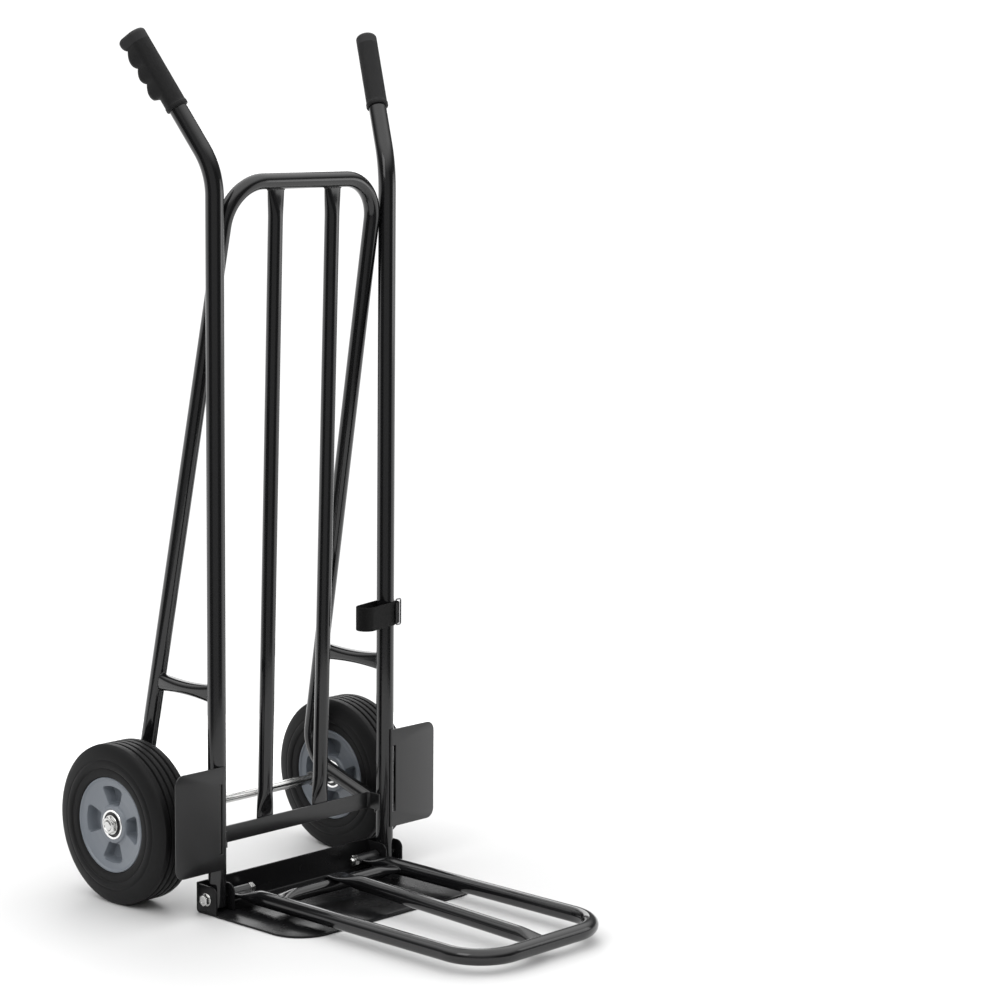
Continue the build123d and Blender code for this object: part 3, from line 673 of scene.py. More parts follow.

# %% [markdown]
# ## The truck's finishes
# The tubes have a gloss black coat and the sheets a satin one, with more orange peel. The toe plate and
# its ears get a darker, less reflective copy of the satin coat, which is painted shade. Welds are coated
# too but rougher. Grips and tyres are matt rubber, whose low index of refraction keeps them from
# shining. The hubs are blue grey plastic, and the fasteners are zinc plated.

# %% The truck's finishes
black_tube = finish("gloss black coat", (0.006, 0.006, 0.0065), 0.12, rough_swing=0.03, fine=0.000005,
                    fine_scale=500)
black_sheet = finish("satin black coat", (0.010, 0.010, 0.0105), 0.30, rough_swing=0.06, fine=0.000015,
                     fine_scale=800, broad_scale=9)
# painted shade: a darker, less reflective copy of the satin coat, for the toe plate and its ears
shaded_toe_coat = finish("toe plate coat", (0.007, 0.007, 0.0074), 0.27, rough_swing=0.05, fine=0.000012,
                   fine_scale=800, ior=1.27)
weld_black = finish("coated weld", (0.012, 0.012, 0.013), 0.36, fine=0.00004, fine_scale=1400)
grip_rubber = finish("grip rubber", (0.006, 0.006, 0.0064), 0.60, ior=1.33, fine=0.00003, fine_scale=1500,
                     grain=0.00002, grain_scale=5200)
tyre_rubber = finish("tyre rubber", (0.005, 0.005, 0.0053), 0.55, ior=1.27, colour_swing=0.3, fine=0.00003,
                     fine_scale=1100, grain=0.00001, broad_scale=30)
hub_plastic = finish("blue grey hub", (0.155, 0.172, 0.195), 0.38, colour_swing=0.05, fine=0.00001,
                     fine_scale=1600)
zinc = finish("bright zinc", (0.60, 0.60, 0.59), 0.20, metal=1.0, colour_swing=0.06, rough_swing=0.12,
              fine=0.000006, broad_scale=120)
polished = finish("polished steel", (0.82, 0.82, 0.82), 0.12, metal=1.0, colour_swing=0.04, rough_swing=0.06,
                  fine=0.000002, broad_scale=90)
webbing = finish("black webbing", (0.004, 0.004, 0.004), 0.75, ior=1.28, fine=0.00004, weave=0.00016)
ring_steel = finish("dark steel wire", (0.16, 0.16, 0.165), 0.2, metal=1.0, colour_swing=0.1, rough_swing=0.1,
                    fine=0.000004, broad_scale=150)
seal_black = finish("rubber seal", (0.02, 0.02, 0.02), 0.5, fine=0.00002, fine_scale=2500)
floor_paint = finish("pale floor", (0.60, 0.60, 0.60), 0.7, colour_swing=0.004, rough_swing=0.03, fine=0.0,
                     broad_scale=2)
print("tube coat roughness 0.12, sheet coat 0.30, grip rubber 0.60")

# %% [markdown]
# ## Floor paint
# Near the truck the floor is painted mid grey, which is painted shade round the truck and also lets its
# shadows show, and it fades to near white towards the rim, where it meets the white behind it. Mirror
# reflections see one even grey instead, a painted reflection, so that the tubes don't pick up the bright rim.

# %% Floor paint
FLOOR_REFLECTED, FLOOR_FAR = 0.75, 0.95
FADE_FROM, FADE_TO = 0.35, 1.15
paint = floor_paint.node_tree
paint_colour = paint.nodes["Principled BSDF"].inputs["Base Color"]
from_middle = paint.nodes.new("ShaderNodeVectorMath")
from_middle.operation = "LENGTH"
paint.links.new(paint.nodes.new("ShaderNodeTexCoord").outputs["Object"], from_middle.inputs[0])
# painted shade: the floor's colour darkens towards the middle, round the truck, and brightens to FLOOR_FAR at
# the rim
fade = ramp(paint, from_middle.outputs["Value"], FADE_FROM, FADE_TO, smooth=True)
painted_shade_floor = mix_colours(paint, fade, paint_colour.links[0].from_socket, (FLOOR_FAR,) * 3)
# painted reflection: glossy rays see the floor as one even grey, FLOOR_REFLECTED
mirrored_ray = paint.nodes.new("ShaderNodeLightPath").outputs["Is Glossy Ray"]
paint.links.new(mix_colours(paint, mirrored_ray, painted_shade_floor, (FLOOR_REFLECTED,) * 3), paint_colour)
floor_mesh.materials.append(floor_paint)
print("floor fades to", FLOOR_FAR, "between", FADE_FROM, "and", FADE_TO, "m from the middle")

# %% [markdown]
# ## Uprights
# Each upright is one round tube, bent outward and back at the top for its handle. A circle carried
# along a path of two straight runs and one arc gives it exactly. Its lower end stays open, as a cut
# tube does, so the surface turns over the lip and goes back up the bore.

# %% Uprights
HANDLE_TIP = mm(239, 110, 1326)
HANDLE_BEND = mm(179, 0, 1125)
LEAN = unit(HANDLE_TIP - HANDLE_BEND)
UPRIGHT_WALL, BEND_R = 0.002, 0.130
SHORT_OF_TIP = 0.006
for side, sign in SIDES.items():
    path = [mm(179, 0, 10), HANDLE_BEND, HANDLE_TIP - LEAN * SHORT_OF_TIP]
    shape = tube(path, [BEND_R], UPRIGHT_R, (1, 0, 0), open_start=UPRIGHT_WALL, count=48, arc_steps=22)
    add_piece(f"upright_tube_{side}", mirrored([shape], sign), "frame", black_tube,
              [f"upright_{side}"])
print("handle leans", np.degrees(np.arccos(LEAN[2])).round(1), "degrees")

# %% [markdown]
# ## Moulded grips
# A grip is a rubber sleeve with four finger ridges on its outer side. Seen along its axis, its outline
# is a large circle for the palm joined to a smaller one for the fingers. Only the small circle's
# distance changes along the grip, so one formula gives the ridges, the valleys and the plain collar.

# %% Grips
PALM_R, FINGER_R = 0.0165, 0.0100
TIP_ROUND, FINGERS_TO, FINGERS_FADE, COLLAR_IN = 0.006, 0.1015, 0.0060, 0.0022
JOIN_HALF = 0.16
RIDGE, VALLEY = 0.0285, 0.0220
VALLEYS = mm(-7, 20, 49.6, 75.8, 105)


def finger_reach(s):
    """Distance from the axis to the finger side at s from the tip. Between two valleys it rises and
    falls as sin(pi q^1.27)^0.62, whose top is past the middle, so each ridge leans towards the collar."""
    k = np.clip(np.searchsorted(VALLEYS, s, side="right") - 1, 0, 3)
    q = np.clip((s - VALLEYS[k]) / (VALLEYS[k + 1] - VALLEYS[k]), 0, 1)
    reach = VALLEY + (RIDGE - VALLEY) * np.sin(pi * q ** 1.27) ** 0.62
    fade = np.clip((s - FINGERS_TO) / FINGERS_FADE, 0, 1)
    fade = fade * fade * (3 - 2 * fade)
    return reach + (PALM_R - reach) * fade


def grip_grid():
    """Rings of the palm and finger circles, joined where both have the same outward direction. A ring
    is drawn in along its own outward direction to round the tip and to form the collar's lip."""
    tip, fingers = TIP_ROUND * (1 - np.cos(np.linspace(0, pi / 2, 10))), np.linspace(TIP_ROUND, 0.110, 130)[1:]
    collar = mm(112, 118, 122, 122.6, 123.2, 124, 128.6, 129.4, 129.9, 130, 130)
    s = np.concatenate([tip, fingers, collar])
    lip = np.interp(s, mm(122, 124, 128.6, 130), mm(0, 0.8, 0.8, 0.1))
    tip_round = TIP_ROUND - np.sqrt(np.maximum(TIP_ROUND ** 2 - np.maximum(TIP_ROUND - s, 0) ** 2, 0))
    reach = finger_reach(s)
    t = np.linspace(-pi, pi, 96, endpoint=False)
    away = reach - FINGER_R
    join = np.arccos(np.clip((PALM_R - FINGER_R) / np.maximum(away, 1e-6), -1, 1))[:, None]
    w = np.clip((join + JOIN_HALF - np.abs(t)) / (2 * JOIN_HALF), 0, 1)
    w = w * w * (3 - 2 * w)
    size = w * FINGER_R + (1 - w) * PALM_R + (lip - tip_round)[:, None]
    size[-1] -= COLLAR_IN
    finger_way = unit((LEAN[0], LEAN[1], 0))
    finger_way = unit(finger_way - LEAN * (finger_way @ LEAN))
    other = np.cross(LEAN, finger_way)
    x, y = w * away[:, None] + size * np.cos(t), size * np.sin(t)
    return Grid((HANDLE_TIP - s[:, None] * LEAN)[:, None] + x[..., None] * finger_way + y[..., None] * other)


for side, sign in SIDES.items():
    grip = mirrored([grip_grid()], sign)
    add_piece(f"grip_sleeve_{side}", grip, "frame", grip_rubber, [f"grip_{side}"], sharp=60)
print("grip ridges reach", RIDGE / MM, "mm, valleys", VALLEY / MM, "mm")

# %% [markdown]
# ## Grip ribs
# The rubber has fine ribs across it, except on a smooth band at the tip. They are far too fine to
# model, so they are a relief in the finish. Both handles lean alike, so the distance from the tip
# can be read from Object coordinates with X taken without its sign.

# %% Grip ribs
BAND_END, RIBS_START = 0.0165, 0.0178
RIB_PITCH, RIB_HEIGHT = 0.0017, 0.00009
BAND_COLOUR = (0.022, 0.022, 0.023)


def rib_the_grip(material):
    """Past the band, the height is RIB_HEIGHT sin(2 pi d / RIB_PITCH), where d is the distance from the
    tip along the handle's lean: the tip's own share of LEAN, less the point's."""
    tree = material.node_tree
    shader = tree.nodes["Principled BSDF"]
    parts = tree.nodes.new("ShaderNodeSeparateXYZ")
    tree.links.new(tree.nodes.new("ShaderNodeTexCoord").outputs["Object"], parts.inputs[0])
    outward = maths(tree, "ABSOLUTE", parts.outputs["X"], 0.0)
    reached = maths(tree, "MULTIPLY", outward, float(LEAN[0]))
    for axis, share in (("Y", LEAN[1]), ("Z", LEAN[2])):
        reached = maths(tree, "ADD", reached, maths(tree, "MULTIPLY", parts.outputs[axis], float(share)))
    from_tip = maths(tree, "SUBTRACT", float(HANDLE_TIP @ LEAN), reached)
    ribbed = ramp(tree, from_tip, BAND_END, RIBS_START)
    plain = shader.inputs["Base Color"].links[0].from_socket
    tree.links.new(mix_colours(tree, ribbed, BAND_COLOUR, plain), shader.inputs["Base Color"])
    ribs = maths(tree, "SINE", maths(tree, "MULTIPLY", from_tip, 2 * pi / RIB_PITCH), 0.0)
    ribs = maths(tree, "MULTIPLY", maths(tree, "MULTIPLY", ribs, ribbed), RIB_HEIGHT)
    height = shader.inputs["Normal"].links[0].from_node.inputs["Height"]
    tree.links.new(maths(tree, "ADD", height.links[0].from_socket, ribs), height)


rib_the_grip(grip_rubber)
print("ribs", RIB_PITCH / MM, "mm apart, from", RIBS_START / MM, "mm below the tip")

# %% [markdown]
# ## Rear hoop
# One long tube makes the top rail, both rear legs and the lower runs that carry the axle. Its path has
# four arcs and doesn't lie in one plane, so the ring's direction is carried along it without twist.

# %% Rear hoop
FOOT, HEEL = mm(179, 0, 98.7), mm(179, 177.5, 155.5)
RAIL_CORNER = np.array([0.1522, RAIL_Y, RAIL_Z])
FLIP = np.array([-1.0, 1.0, 1.0])
hoop_path = [FOOT, HEEL, RAIL_CORNER, RAIL_CORNER * FLIP, HEEL * FLIP, FOOT * FLIP]
heel_bend, rail_bend = mm(58, 69)
hoop_bends = [heel_bend, rail_bend, rail_bend, heel_bend]
hoop = tube(hoop_path, hoop_bends, HOOP_R, (1, 0, 0), count=44, arc_steps=24)
add_piece("rear_hoop_tube", [hoop], "frame", black_tube, ["rear_hoop"])
print("top rail at", round(RAIL_Z * 1000), "mm")

# %% [markdown]
# ## Back slats
# The two slats are tubes whose ends are pressed flat, so that they can be welded to the rail and to
# the strip. Pressing changes the section but not how long its outline is, so a flatter end is a wider
# one. The change fades along the tube, which is what catches the light near each end.

# %% Back slats
SLAT_R, SLAT_FLAT = 0.0115, 0.007
SLAT_FOOT, SLAT_TOP = mm(58.7, 25.2, 98.8), mm(58.7, -3, 1108)
SLAT_RISE, SLAT_KEEP = mm(72, 58), (0.4, 0.05)
for side, sign in SIDES.items():
    slat = pressed_tube([SLAT_FOOT, SLAT_TOP], [], (1, 0, 0), SLAT_R, SLAT_FLAT, SLAT_RISE, keep_flat=SLAT_KEEP)
    add_piece(f"back_slat_tube_{side}", mirrored([slat], sign), "frame", black_tube,
              [f"back_slat_{side}"])
told("back_slat")

# %% [markdown]
# ## Lower cross strip
# A flat steel strip runs behind both uprights' foot ends, with its own ends bent forward against them.
# It is a rounded rectangle carried along a flat path with two small arcs.

# %% Lower cross strip
STRIP_X, STRIP_Z, STRIP_BACK_Y, STRIP_TIP_Y = 163.4, 111.6, 20, -4.4
STRIP_HALF_W, STRIP_HALF_T, SHEET_EDGE = 0.013, 0.0015, 0.0005
strip_corners = [mm(STRIP_X, STRIP_TIP_Y, STRIP_Z), mm(STRIP_X, STRIP_BACK_Y, STRIP_Z),
                 mm(-STRIP_X, STRIP_BACK_Y, STRIP_Z), mm(-STRIP_X, STRIP_TIP_Y, STRIP_Z)]
strip_path, strip_ways = rounded_path(strip_corners, mm(6.5, 6.5), arc_steps=10)
strip = slab_rings(strip_path, strip_ways, (0, 0, 1), STRIP_HALF_W, STRIP_HALF_T, SHEET_EDGE)
add_piece("lower_strip_sheet", [Grid(strip)], "frame", black_sheet, ["lower_cross_strip"])
print("strip is", 2 * STRIP_X, "mm long between its turned ends")

# %% [markdown]
# ## Mid braces
# A short brace ties each upright to its leg. Its ends are pressed tall and thin and its middle is
# nearly round, so the two half sizes follow a parabola along it.

# %% Mid braces
BRACE_Z, BRACE_STEPS = 0.338, 60
THIN_MIDDLE, THIN_END = 0.0215, 0.013
TALL_MIDDLE, TALL_AT_UPRIGHT, TALL_AT_LEG = 0.0210, 0.031, 0.029
share_down = (RAIL_Z - BRACE_Z) / (RAIL_Z - HEEL[2])
LEG_AT_BRACE = RAIL_CORNER + (HEEL - RAIL_CORNER) * share_down
LEG_WAY = unit(HEEL - RAIL_CORNER)
q = np.linspace(0, 1, BRACE_STEPS)
swell = (2 * q - 1) ** 2
brace_line = np.array([UPRIGHT_X, 0, BRACE_Z]) + q[:, None] * (LEG_AT_BRACE - [UPRIGHT_X, 0, BRACE_Z])
brace_way = np.repeat(unit(brace_line[-1] - brace_line[0])[None], BRACE_STEPS, 0)
thin = 0.5 * (THIN_MIDDLE + (THIN_END - THIN_MIDDLE) * swell)
tall = 0.5 * (TALL_MIDDLE + (np.where(q < 0.5, TALL_AT_UPRIGHT, TALL_AT_LEG) - TALL_MIDDLE) * swell)
brace = Grid(rings(brace_line, brace_way, (0, 0, 1), tall, thin, 2.0 + 1.2 * swell, 48))
for side, sign in SIDES.items():
    add_piece(f"mid_brace_tube_{side}", mirrored([brace], sign), "frame", black_tube,
              [f"mid_brace_{side}"])
print("brace is", round(float(np.linalg.norm(brace_line[-1] - brace_line[0])) / MM), "mm between centre lines")

# %% [markdown]
# ## Weld beads on the frame
# The hoop's feet, the slats' tops and both ends of the braces are welded, and the coat covers the
# beads too. All eight are one piece, because they are part of the frame and never come apart.

# %% Weld beads on the frame
UP, ACROSS, BACKWARD = (0, 0, 1), (1, 0, 0), (0, 1, 0)
POST, RAIL = (UPRIGHT_X, 0, 0), (0, RAIL_Y, RAIL_Z)
brace_out = brace_line[-1] - brace_line[0]
beads = [weld(FOOT, FOOT - HEEL, ACROSS, HOOP_R, HOOP_R, POST, UP, UPRIGHT_R),
         weld(SLAT_TOP, mm(0, -28.2, 1009), ACROSS, 0.0160, 0.0035, RAIL, ACROSS, HOOP_R, 0.0016),
         weld(brace_line[0], -brace_out, UP, 0.0155, 0.0065, POST, UP, UPRIGHT_R, 0.0017),
         weld(LEG_AT_BRACE, brace_out, UP, 0.0145, 0.0065, LEG_AT_BRACE, LEG_WAY, HOOP_R, 0.0017)]
add_piece("frame_welds", on_both_sides(beads), "frame", weld_black, sharp=70)
told("frame_welds")

# %% [markdown]
# ## Wheel guards
# A guard is a flat steel plate on the front of each upright, with two rounded corners and one long
# slot. Its surface is one band: out over the front, round the edge, back over the rear and through
# the slot, so both faces and every cut edge come from the same rows of points.

# %% Wheel guards
def guard_outline(inset):
    """The plate: x 176 to 275 mm and z 70 to 230 mm, with its outer corners rounded to 15 mm."""
    return rounded_box(mm(176, 70), mm(275, 230), mm(15, 1, 1, 15), inset)


def guard_slot(inset):
    """The slot: 6 mm wide, z 94.5 to 203.3 mm."""
    return rounded_box(mm(182, 94.5), mm(188, 203.3), mm(1.5, 1.5, 1.5, 1.5), inset)


GUARD_T, GUARD_MIDDLE_Y = 0.0025, -0.01527
for side, sign in SIDES.items():
    guard = plate(guard_outline, guard_slot, GUARD_T, lambda u, v, d: np.stack([u, GUARD_MIDDLE_Y - d, v], -1))
    add_piece(f"guard_sheet_{side}", mirrored([guard], sign), "frame", black_sheet,
              [f"wheel_guard_{side}"])
told("guard_sheet")

# %% [markdown]
# ## Toe plate
# The toe plate is one sheet, bent up at the back into a low flange. It is a thin rounded rectangle
# carried from the front edge to the flange's top, narrowed near the front edge for its large corners.

# %% Toe plate
CORNER_R, CORNER_STEPS = 0.058, 26
SHEET_HALF_T = 0.0015
arc = CORNER_R * (1 - np.cos(np.linspace(0, pi / 2, CORNER_STEPS)))
front_y = toe_low[1] + np.concatenate([[0.0], SHEET_EDGE + arc * (CORNER_R - SHEET_EDGE) / CORNER_R])
fronts = len(front_y)
bend_corners = [mm(0, -140, 1.5), mm(0, 22.5, 1.5), mm(0, 22.5, 47)]
bend_path, bend_ways = rounded_path(bend_corners, mm(4), arc_steps=10)
toe_line = np.concatenate([np.stack([np.zeros(fronts), front_y, np.full(fronts, SHEET_HALF_T)], -1), bend_path])
toe_ways = np.concatenate([np.repeat([[0.0, 1.0, 0.0]], fronts, 0), bend_ways])
drop = np.maximum(toe_low[1] + CORNER_R - toe_line[:, 1], 0)
toe_width = TOE_HALF - CORNER_R + np.sqrt(CORNER_R ** 2 - np.minimum(drop, CORNER_R) ** 2)
toe_thick = np.full(len(toe_line), SHEET_HALF_T)
toe_thick[0] -= SHEET_EDGE
toe_line = np.vstack([toe_line[:-1], toe_line[-1] - [0, 0, SHEET_EDGE], toe_line[-1]])
toe_ways = np.vstack([toe_ways, toe_ways[-1]])
toe_width = np.append(toe_width, TOE_HALF - SHEET_EDGE)
toe_thick = np.append(toe_thick, SHEET_HALF_T - SHEET_EDGE)
toe = slab_rings(toe_line, toe_ways, ACROSS, toe_width, toe_thick, SHEET_EDGE)
add_piece("toe_plate_sheet", [Grid(toe)], "toe_plate", shaded_toe_coat, ["toe_plate"])
print("toe plate", round(2 * TOE_HALF / MM), "mm wide,", round(-toe_low[1] / MM), "mm deep")

# %% [markdown]
# ## Ears
# Two ears stand on each end of the toe plate, one each side of the upright's foot, and carry the pivot
# bolt. Each is cut from sheet, so it is a plate with a round hole, and is welded along its foot.

# %% Ears
def ear_outline(inset):
    """Ear in the Y and Z plane: rounded 12 mm at its upper front corner, 3 mm at its lower rear one."""
    return rounded_box(mm(-21, 3.02), mm(20.98, 45), mm(1, 12, 1, 3), inset)


def pin_hole(radius):
    """A function that gives the pin's hole, widened by a negative inset, point for point with a plate's
    outline of 24 points."""
    t = np.linspace(0, 2 * pi, 24, endpoint=False) + pi / 8 - pi / 12
    return lambda inset: np.stack([(radius - inset) * np.cos(t), PIVOT_Z + (radius - inset) * np.sin(t)], -1)


EAR_X = {"outer": 0.1985, "inner": 0.1630}
EAR_T, EAR_EDGE, EAR_HOLE_R = 0.003, 0.0009, 0.00502
for side, sign in SIDES.items():
    for place, x in EAR_X.items():
        def place_ear(u, v, depth, x=x):
            """Outline and depth to a point, at this ear's place across the truck."""
            return np.stack([x + depth, u, v], -1)

        ear = plate(ear_outline, pin_hole(EAR_HOLE_R), EAR_T, place_ear, EAR_EDGE)
        add_piece(f"ear_sheet_{place}_{side}", mirrored([ear], sign), "toe_plate", shaded_toe_coat,
                  [f"toe_ear_{place}_{side}"])

ear_beads = [straight_bead(mm(x, -18, 3.4), mm(x, 12, 3.4)) for x in (196.9, 161.3)]
add_piece("ear_welds", on_both_sides(ear_beads), "toe_plate", weld_black, sharp=70)
told("ear_")

# %% [markdown]
# ## Bolts, washers and nuts
# Plated fasteners are small but bright, so their edges matter. A hexagon's distance from its centre is
# its half width divided by the cosine of the angle from the nearest flat. Limiting that to a cone
# near the end face leaves the curved chamfers of a real bolt head.

# %% Fastener shapes
AROUND = np.linspace(0, 2 * pi, 96, endpoint=False)


def hexagon(half_width, t):
    """Distance from the centre to a hexagon's side in direction t."""
    return half_width / np.cos((t + pi / 6) % (pi / 3) - pi / 6)


def hex_rows(x0, x1, half_width, both=False):
    """Rows (x, radii) of a hexagon from x0 to x1, with a 30 degree chamfer cone at x1, or at both ends."""
    sides = hexagon(half_width, AROUND)
    corner = half_width / cos(pi / 6)
    cut = corner - 0.97 * half_width
    deep = cut * tan(radians(30))
    way = np.sign(x1 - x0)
    share = np.linspace(0, 1, 7)
    rows = [(x1 - way * deep * (1 - q), np.minimum(sides, corner - cut * q)) for q in share]
    lead = [(x0 + way * deep * (1 - q), np.minimum(sides, corner - cut * q)) for q in share[::-1]]
    return (lead if both else [(x0, sides)]) + rows


def about_x(rows, centre, wrap=False):
    """Turn rows (x, radii) into rings about the X direction."""
    x = np.array([row[0] for row in rows])[:, None]
    r = np.stack([np.broadcast_to(row[1], len(AROUND)) for row in rows])
    points = np.stack(np.broadcast_arrays(x, r * np.cos(AROUND), r * np.sin(AROUND)), -1)
    return Grid(points + np.asarray(centre, float) * [0, 1, 1], wrap=wrap)


def washer(x0, x1, outer, inner, centre):
    """A flat ring with small rounded edges."""
    e = 0.0003
    return about_x([(x0 + e, inner), (x0, inner + e), (x0, outer - e), (x0 + e, outer), (x1 - e, outer),
                    (x1, outer - e), (x1, inner + e), (x1 - e, inner)], centre, wrap=True)


def nut(x0, x1, half_width, bore, centre):
    """A hexagon nut, chamfered on both faces, with its bore countersunk."""
    e = 0.0008
    rows = hex_rows(x0, x1, half_width, both=True)
    back_through = [(x1, bore + e), (x1 - e, bore), (x0 + e, bore)]
    return about_x([(x0, bore + e)] + rows + back_through, centre, wrap=True)


def thread(x0, x1, outer, pitch=0.0015, deep=0.0006):
    """Rows for a screw thread, as rings that alternate between crest and root."""
    x = np.arange(x0, x1, pitch / 2 * np.sign(x1 - x0))
    return [(v, outer - deep * (k % 2)) for k, v in enumerate(x)]


print("a hexagon 16 mm across flats is", round(float(hexagon(8.0, AROUND).max() * 2), 1), "mm across corners")

# %% [markdown]
# ## Pivot bolts
# Each pivot bolt goes in from outside through the outer ear, the upright, the inner ear and the nose's
# sleeve, and its nut is at the inner end. An outline is a list of places along it and the radius there.

# %% Pivot bolts
PIVOT = np.array([0, 0, PIVOT_Z])
BOLT_R, BOLT_BORE, BOLT_HALF_HEX = 0.005, 0.0051, 0.008
HEAD_FROM, HEAD_TO = 0.2021, 0.2084
bolt_end = [(mm(104.1)[0], 0.0038), (mm(104.9)[0], 0.0046)] + thread(0.1052, 0.1158, 0.0049)
shank = [(0.116, BOLT_R), (0.1999, BOLT_R), (0.202, 0.0052)]
head = [(HEAD_FROM, 0.0074)] + hex_rows(HEAD_FROM, HEAD_TO, BOLT_HALF_HEX)
dimple = [(HEAD_TO, BOLT_R), (0.2081, 0.0046)]
bolt = about_x(bolt_end + shank + head + dimple, PIVOT)
add_piece("pivot_bolt_set", on_both_sides([bolt]), "toe_plate", zinc, ["pivot_bolts"], sharp=32)
pivot_washer = washer(0.2, 0.202, 0.010, BOLT_BORE, PIVOT)
add_piece("pivot_washer_set", on_both_sides([pivot_washer]), "toe_plate", zinc, ["pivot_washers"])
pivot_nut = nut(0.1073, 0.1157, BOLT_HALF_HEX, BOLT_BORE, PIVOT)
add_piece("pivot_nut_set", on_both_sides([pivot_nut]), "toe_plate", zinc, ["pivot_nuts"], sharp=32)
told("pivot")

# %% [markdown]
# ## Axle
# The axle is one plain plated rod through the welded sleeves and both wheels. A washer lies on each
# side of a hub, and a nut at each end holds them all.

# %% Axle
AXLE_R, AXLE_BORE, AXLE_HALF_HEX = 0.008, 0.0081, 0.012
WASHER_STARTS, WASHER_T = (198.4, 263.3), 2
axle_washers = [washer(*mm(x, x + WASHER_T), 0.015, AXLE_BORE, AXLE) for x in WASHER_STARTS]
add_piece("axle_washer_set", on_both_sides(axle_washers), "frame", zinc, ["axle_washers"])
axle_nut = nut(0.2653, 0.2713, AXLE_HALF_HEX, AXLE_BORE, AXLE)
add_piece("axle_nut_set", on_both_sides([axle_nut]), "frame", zinc, ["axle_nuts"], sharp=32)
axle_end = [(0.2719, 0.0052), (0.2717, 0.0064), (0.2709, 0.0077)]
axle_rows = axle_end + [(0.2640, AXLE_R), (-0.2640, AXLE_R)] + [(-x, r) for x, r in axle_end[::-1]]
add_piece("axle_rod", [about_x(axle_rows, AXLE)], "frame", zinc, ["axle"])
sleeve = about_x([(0.1560, 0.0087), (0.1560, 0.0114), (0.1566, 0.012), (0.1977, 0.012), (0.1983, 0.0114),
                  (0.1983, 0.0087), (0.1977, AXLE_BORE), (0.1566, AXLE_BORE)], AXLE, wrap=True)
for side, sign in SIDES.items():
    add_piece(f"axle_sleeve_tube_{side}", mirrored([sleeve], sign), "frame", black_tube,
              [f"axle_sleeve_{side}"])
told("axle")

# %% [markdown]
# ## Folding nose
# The nose is a long U of tube. The ends of its legs are pressed flat against two hinge sleeves, which
# turn on the pivot bolts. A cross tube and a middle slat, both with pressed ends, stiffen it.

# %% Nose tubes
LEG_X, LEG_END, NOSE_BENDS = 0.1373, mm(137.3, -6.6, 24), mm(66, 66)
NOSE_FLAT, CROSS_R, CROSS_FLAT, SPINE_R, SPINE_FLAT = 0.006, 0.0105, 0.007, 0.012, 0.006
CROSS_END = mm(137.3, -76, 24)
NOSE_MIDDLE = np.array([0, NOSE_Y, PIVOT_Z])
nose_path = [LEG_END, np.array([LEG_X, NOSE_Y, PIVOT_Z]), np.array([-LEG_X, NOSE_Y, PIVOT_Z]), LEG_END * FLIP]
nose = pressed_tube(nose_path, NOSE_BENDS, ACROSS, NOSE_R, NOSE_FLAT, mm(50, 50), count=44)
add_piece("nose_hoop_tube", [nose], "nose", black_tube, ["nose_hoop"])
cross = pressed_tube([CROSS_END * FLIP, CROSS_END], [], BACKWARD, CROSS_R, CROSS_FLAT, mm(54, 54))
add_piece("nose_cross_piece", [cross], "nose", black_tube, ["nose_cross_tube"])
spine_path = [mm(0, -65.0, 31.9), mm(0, -69.87, 37.69), NOSE_MIDDLE]
spine = pressed_tube(spine_path, mm(13.5), ACROSS, SPINE_R, SPINE_FLAT, mm(74, 56), keep_flat=(0.3, 0.15))
add_piece("nose_slat_tube", [spine], "nose", black_tube, ["nose_slat"])
print("nose is", round(2 * (LEG_X + NOSE_R) / MM), "mm wide, and reaches", round(-nose_low[1] / MM), "mm")

# %% [markdown]
# ## Nose hinges and welds
# A short sleeve is welded to each pressed leg end, and turns on the pivot bolt's shank. The beads
# ride with the nose, so they fold up with it.

# %% Nose hinges and welds
SLEEVE_R, SLEEVE_BORE = 0.0085, 0.00506
hinge = about_x([(0.1160, 0.0056), (0.1160, 0.0080), (0.1165, SLEEVE_R), (0.1600, SLEEVE_R), (0.1605, 0.0080),
                 (0.1605, 0.0056), (0.1600, SLEEVE_BORE), (0.1165, SLEEVE_BORE)], PIVOT, wrap=True)
for side, sign in SIDES.items():
    add_piece(f"nose_sleeve_{side}", mirrored([hinge], sign), "nose", black_sheet,
              [f"nose_hinge_sleeve_{side}"])
leg_beads = [weld(CROSS_END, ACROSS, BACKWARD, 0.0143, 0.0035, (LEG_X, 0, PIVOT_Z), BACKWARD, NOSE_R, 0.0014),
             weld(mm(137.3, 0, 24), BACKWARD, ACROSS, 0.0176, 0.003, PIVOT, ACROSS, SLEEVE_R, 0.0012)]
spine_bead = weld(NOSE_MIDDLE, (0, -1, -0.03), ACROSS, 0.0168, 0.003, NOSE_MIDDLE, ACROSS, NOSE_R, 0.0014)
add_piece("nose_welds", on_both_sides(leg_beads) + [spine_bead], "nose", weld_black, sharp=70)
told("nose")

# %% [markdown]
# ## Tyres
# The tyre is solid rubber with four grooves round its tread and a raised band on each side wall. It is
# one outline turned about the axle. The tread's outline is a formula, and the side wall's is a short
# list of corners, because a moulded wall has steps that follow no single curve.

# %% Tyres
WHEEL_R, TREAD_HALF = 0.125, 0.0285
GROOVE_DEEP, CROWN = 0.0036, 0.00035


def tread_radius(x):
    """The tread's radius at x: each groove is a smooth notch 3.6 mm deep, and each rib between two
    grooves is crowned by 0.35 mm. There are five ribs, so the pitch is a fifth of the tread."""
    pitch = 2 * TREAD_HALF / 5
    from_rib = np.abs((x + TREAD_HALF) % pitch - pitch / 2)
    inside = np.abs(x) < TREAD_HALF - pitch / 2
    from_groove = np.where(inside, pitch / 2 - from_rib, np.abs(x) - (TREAD_HALF - pitch))
    notch = np.clip((from_groove - 0.0010) / 0.0013, 0, 1)
    notch = 1 - notch * notch * (3 - 2 * notch)
    crown = CROWN * (from_rib / 0.0036) ** 2
    return WHEEL_R - GROOVE_DEEP * notch - np.minimum(crown, 0.0009) * (1 - notch)


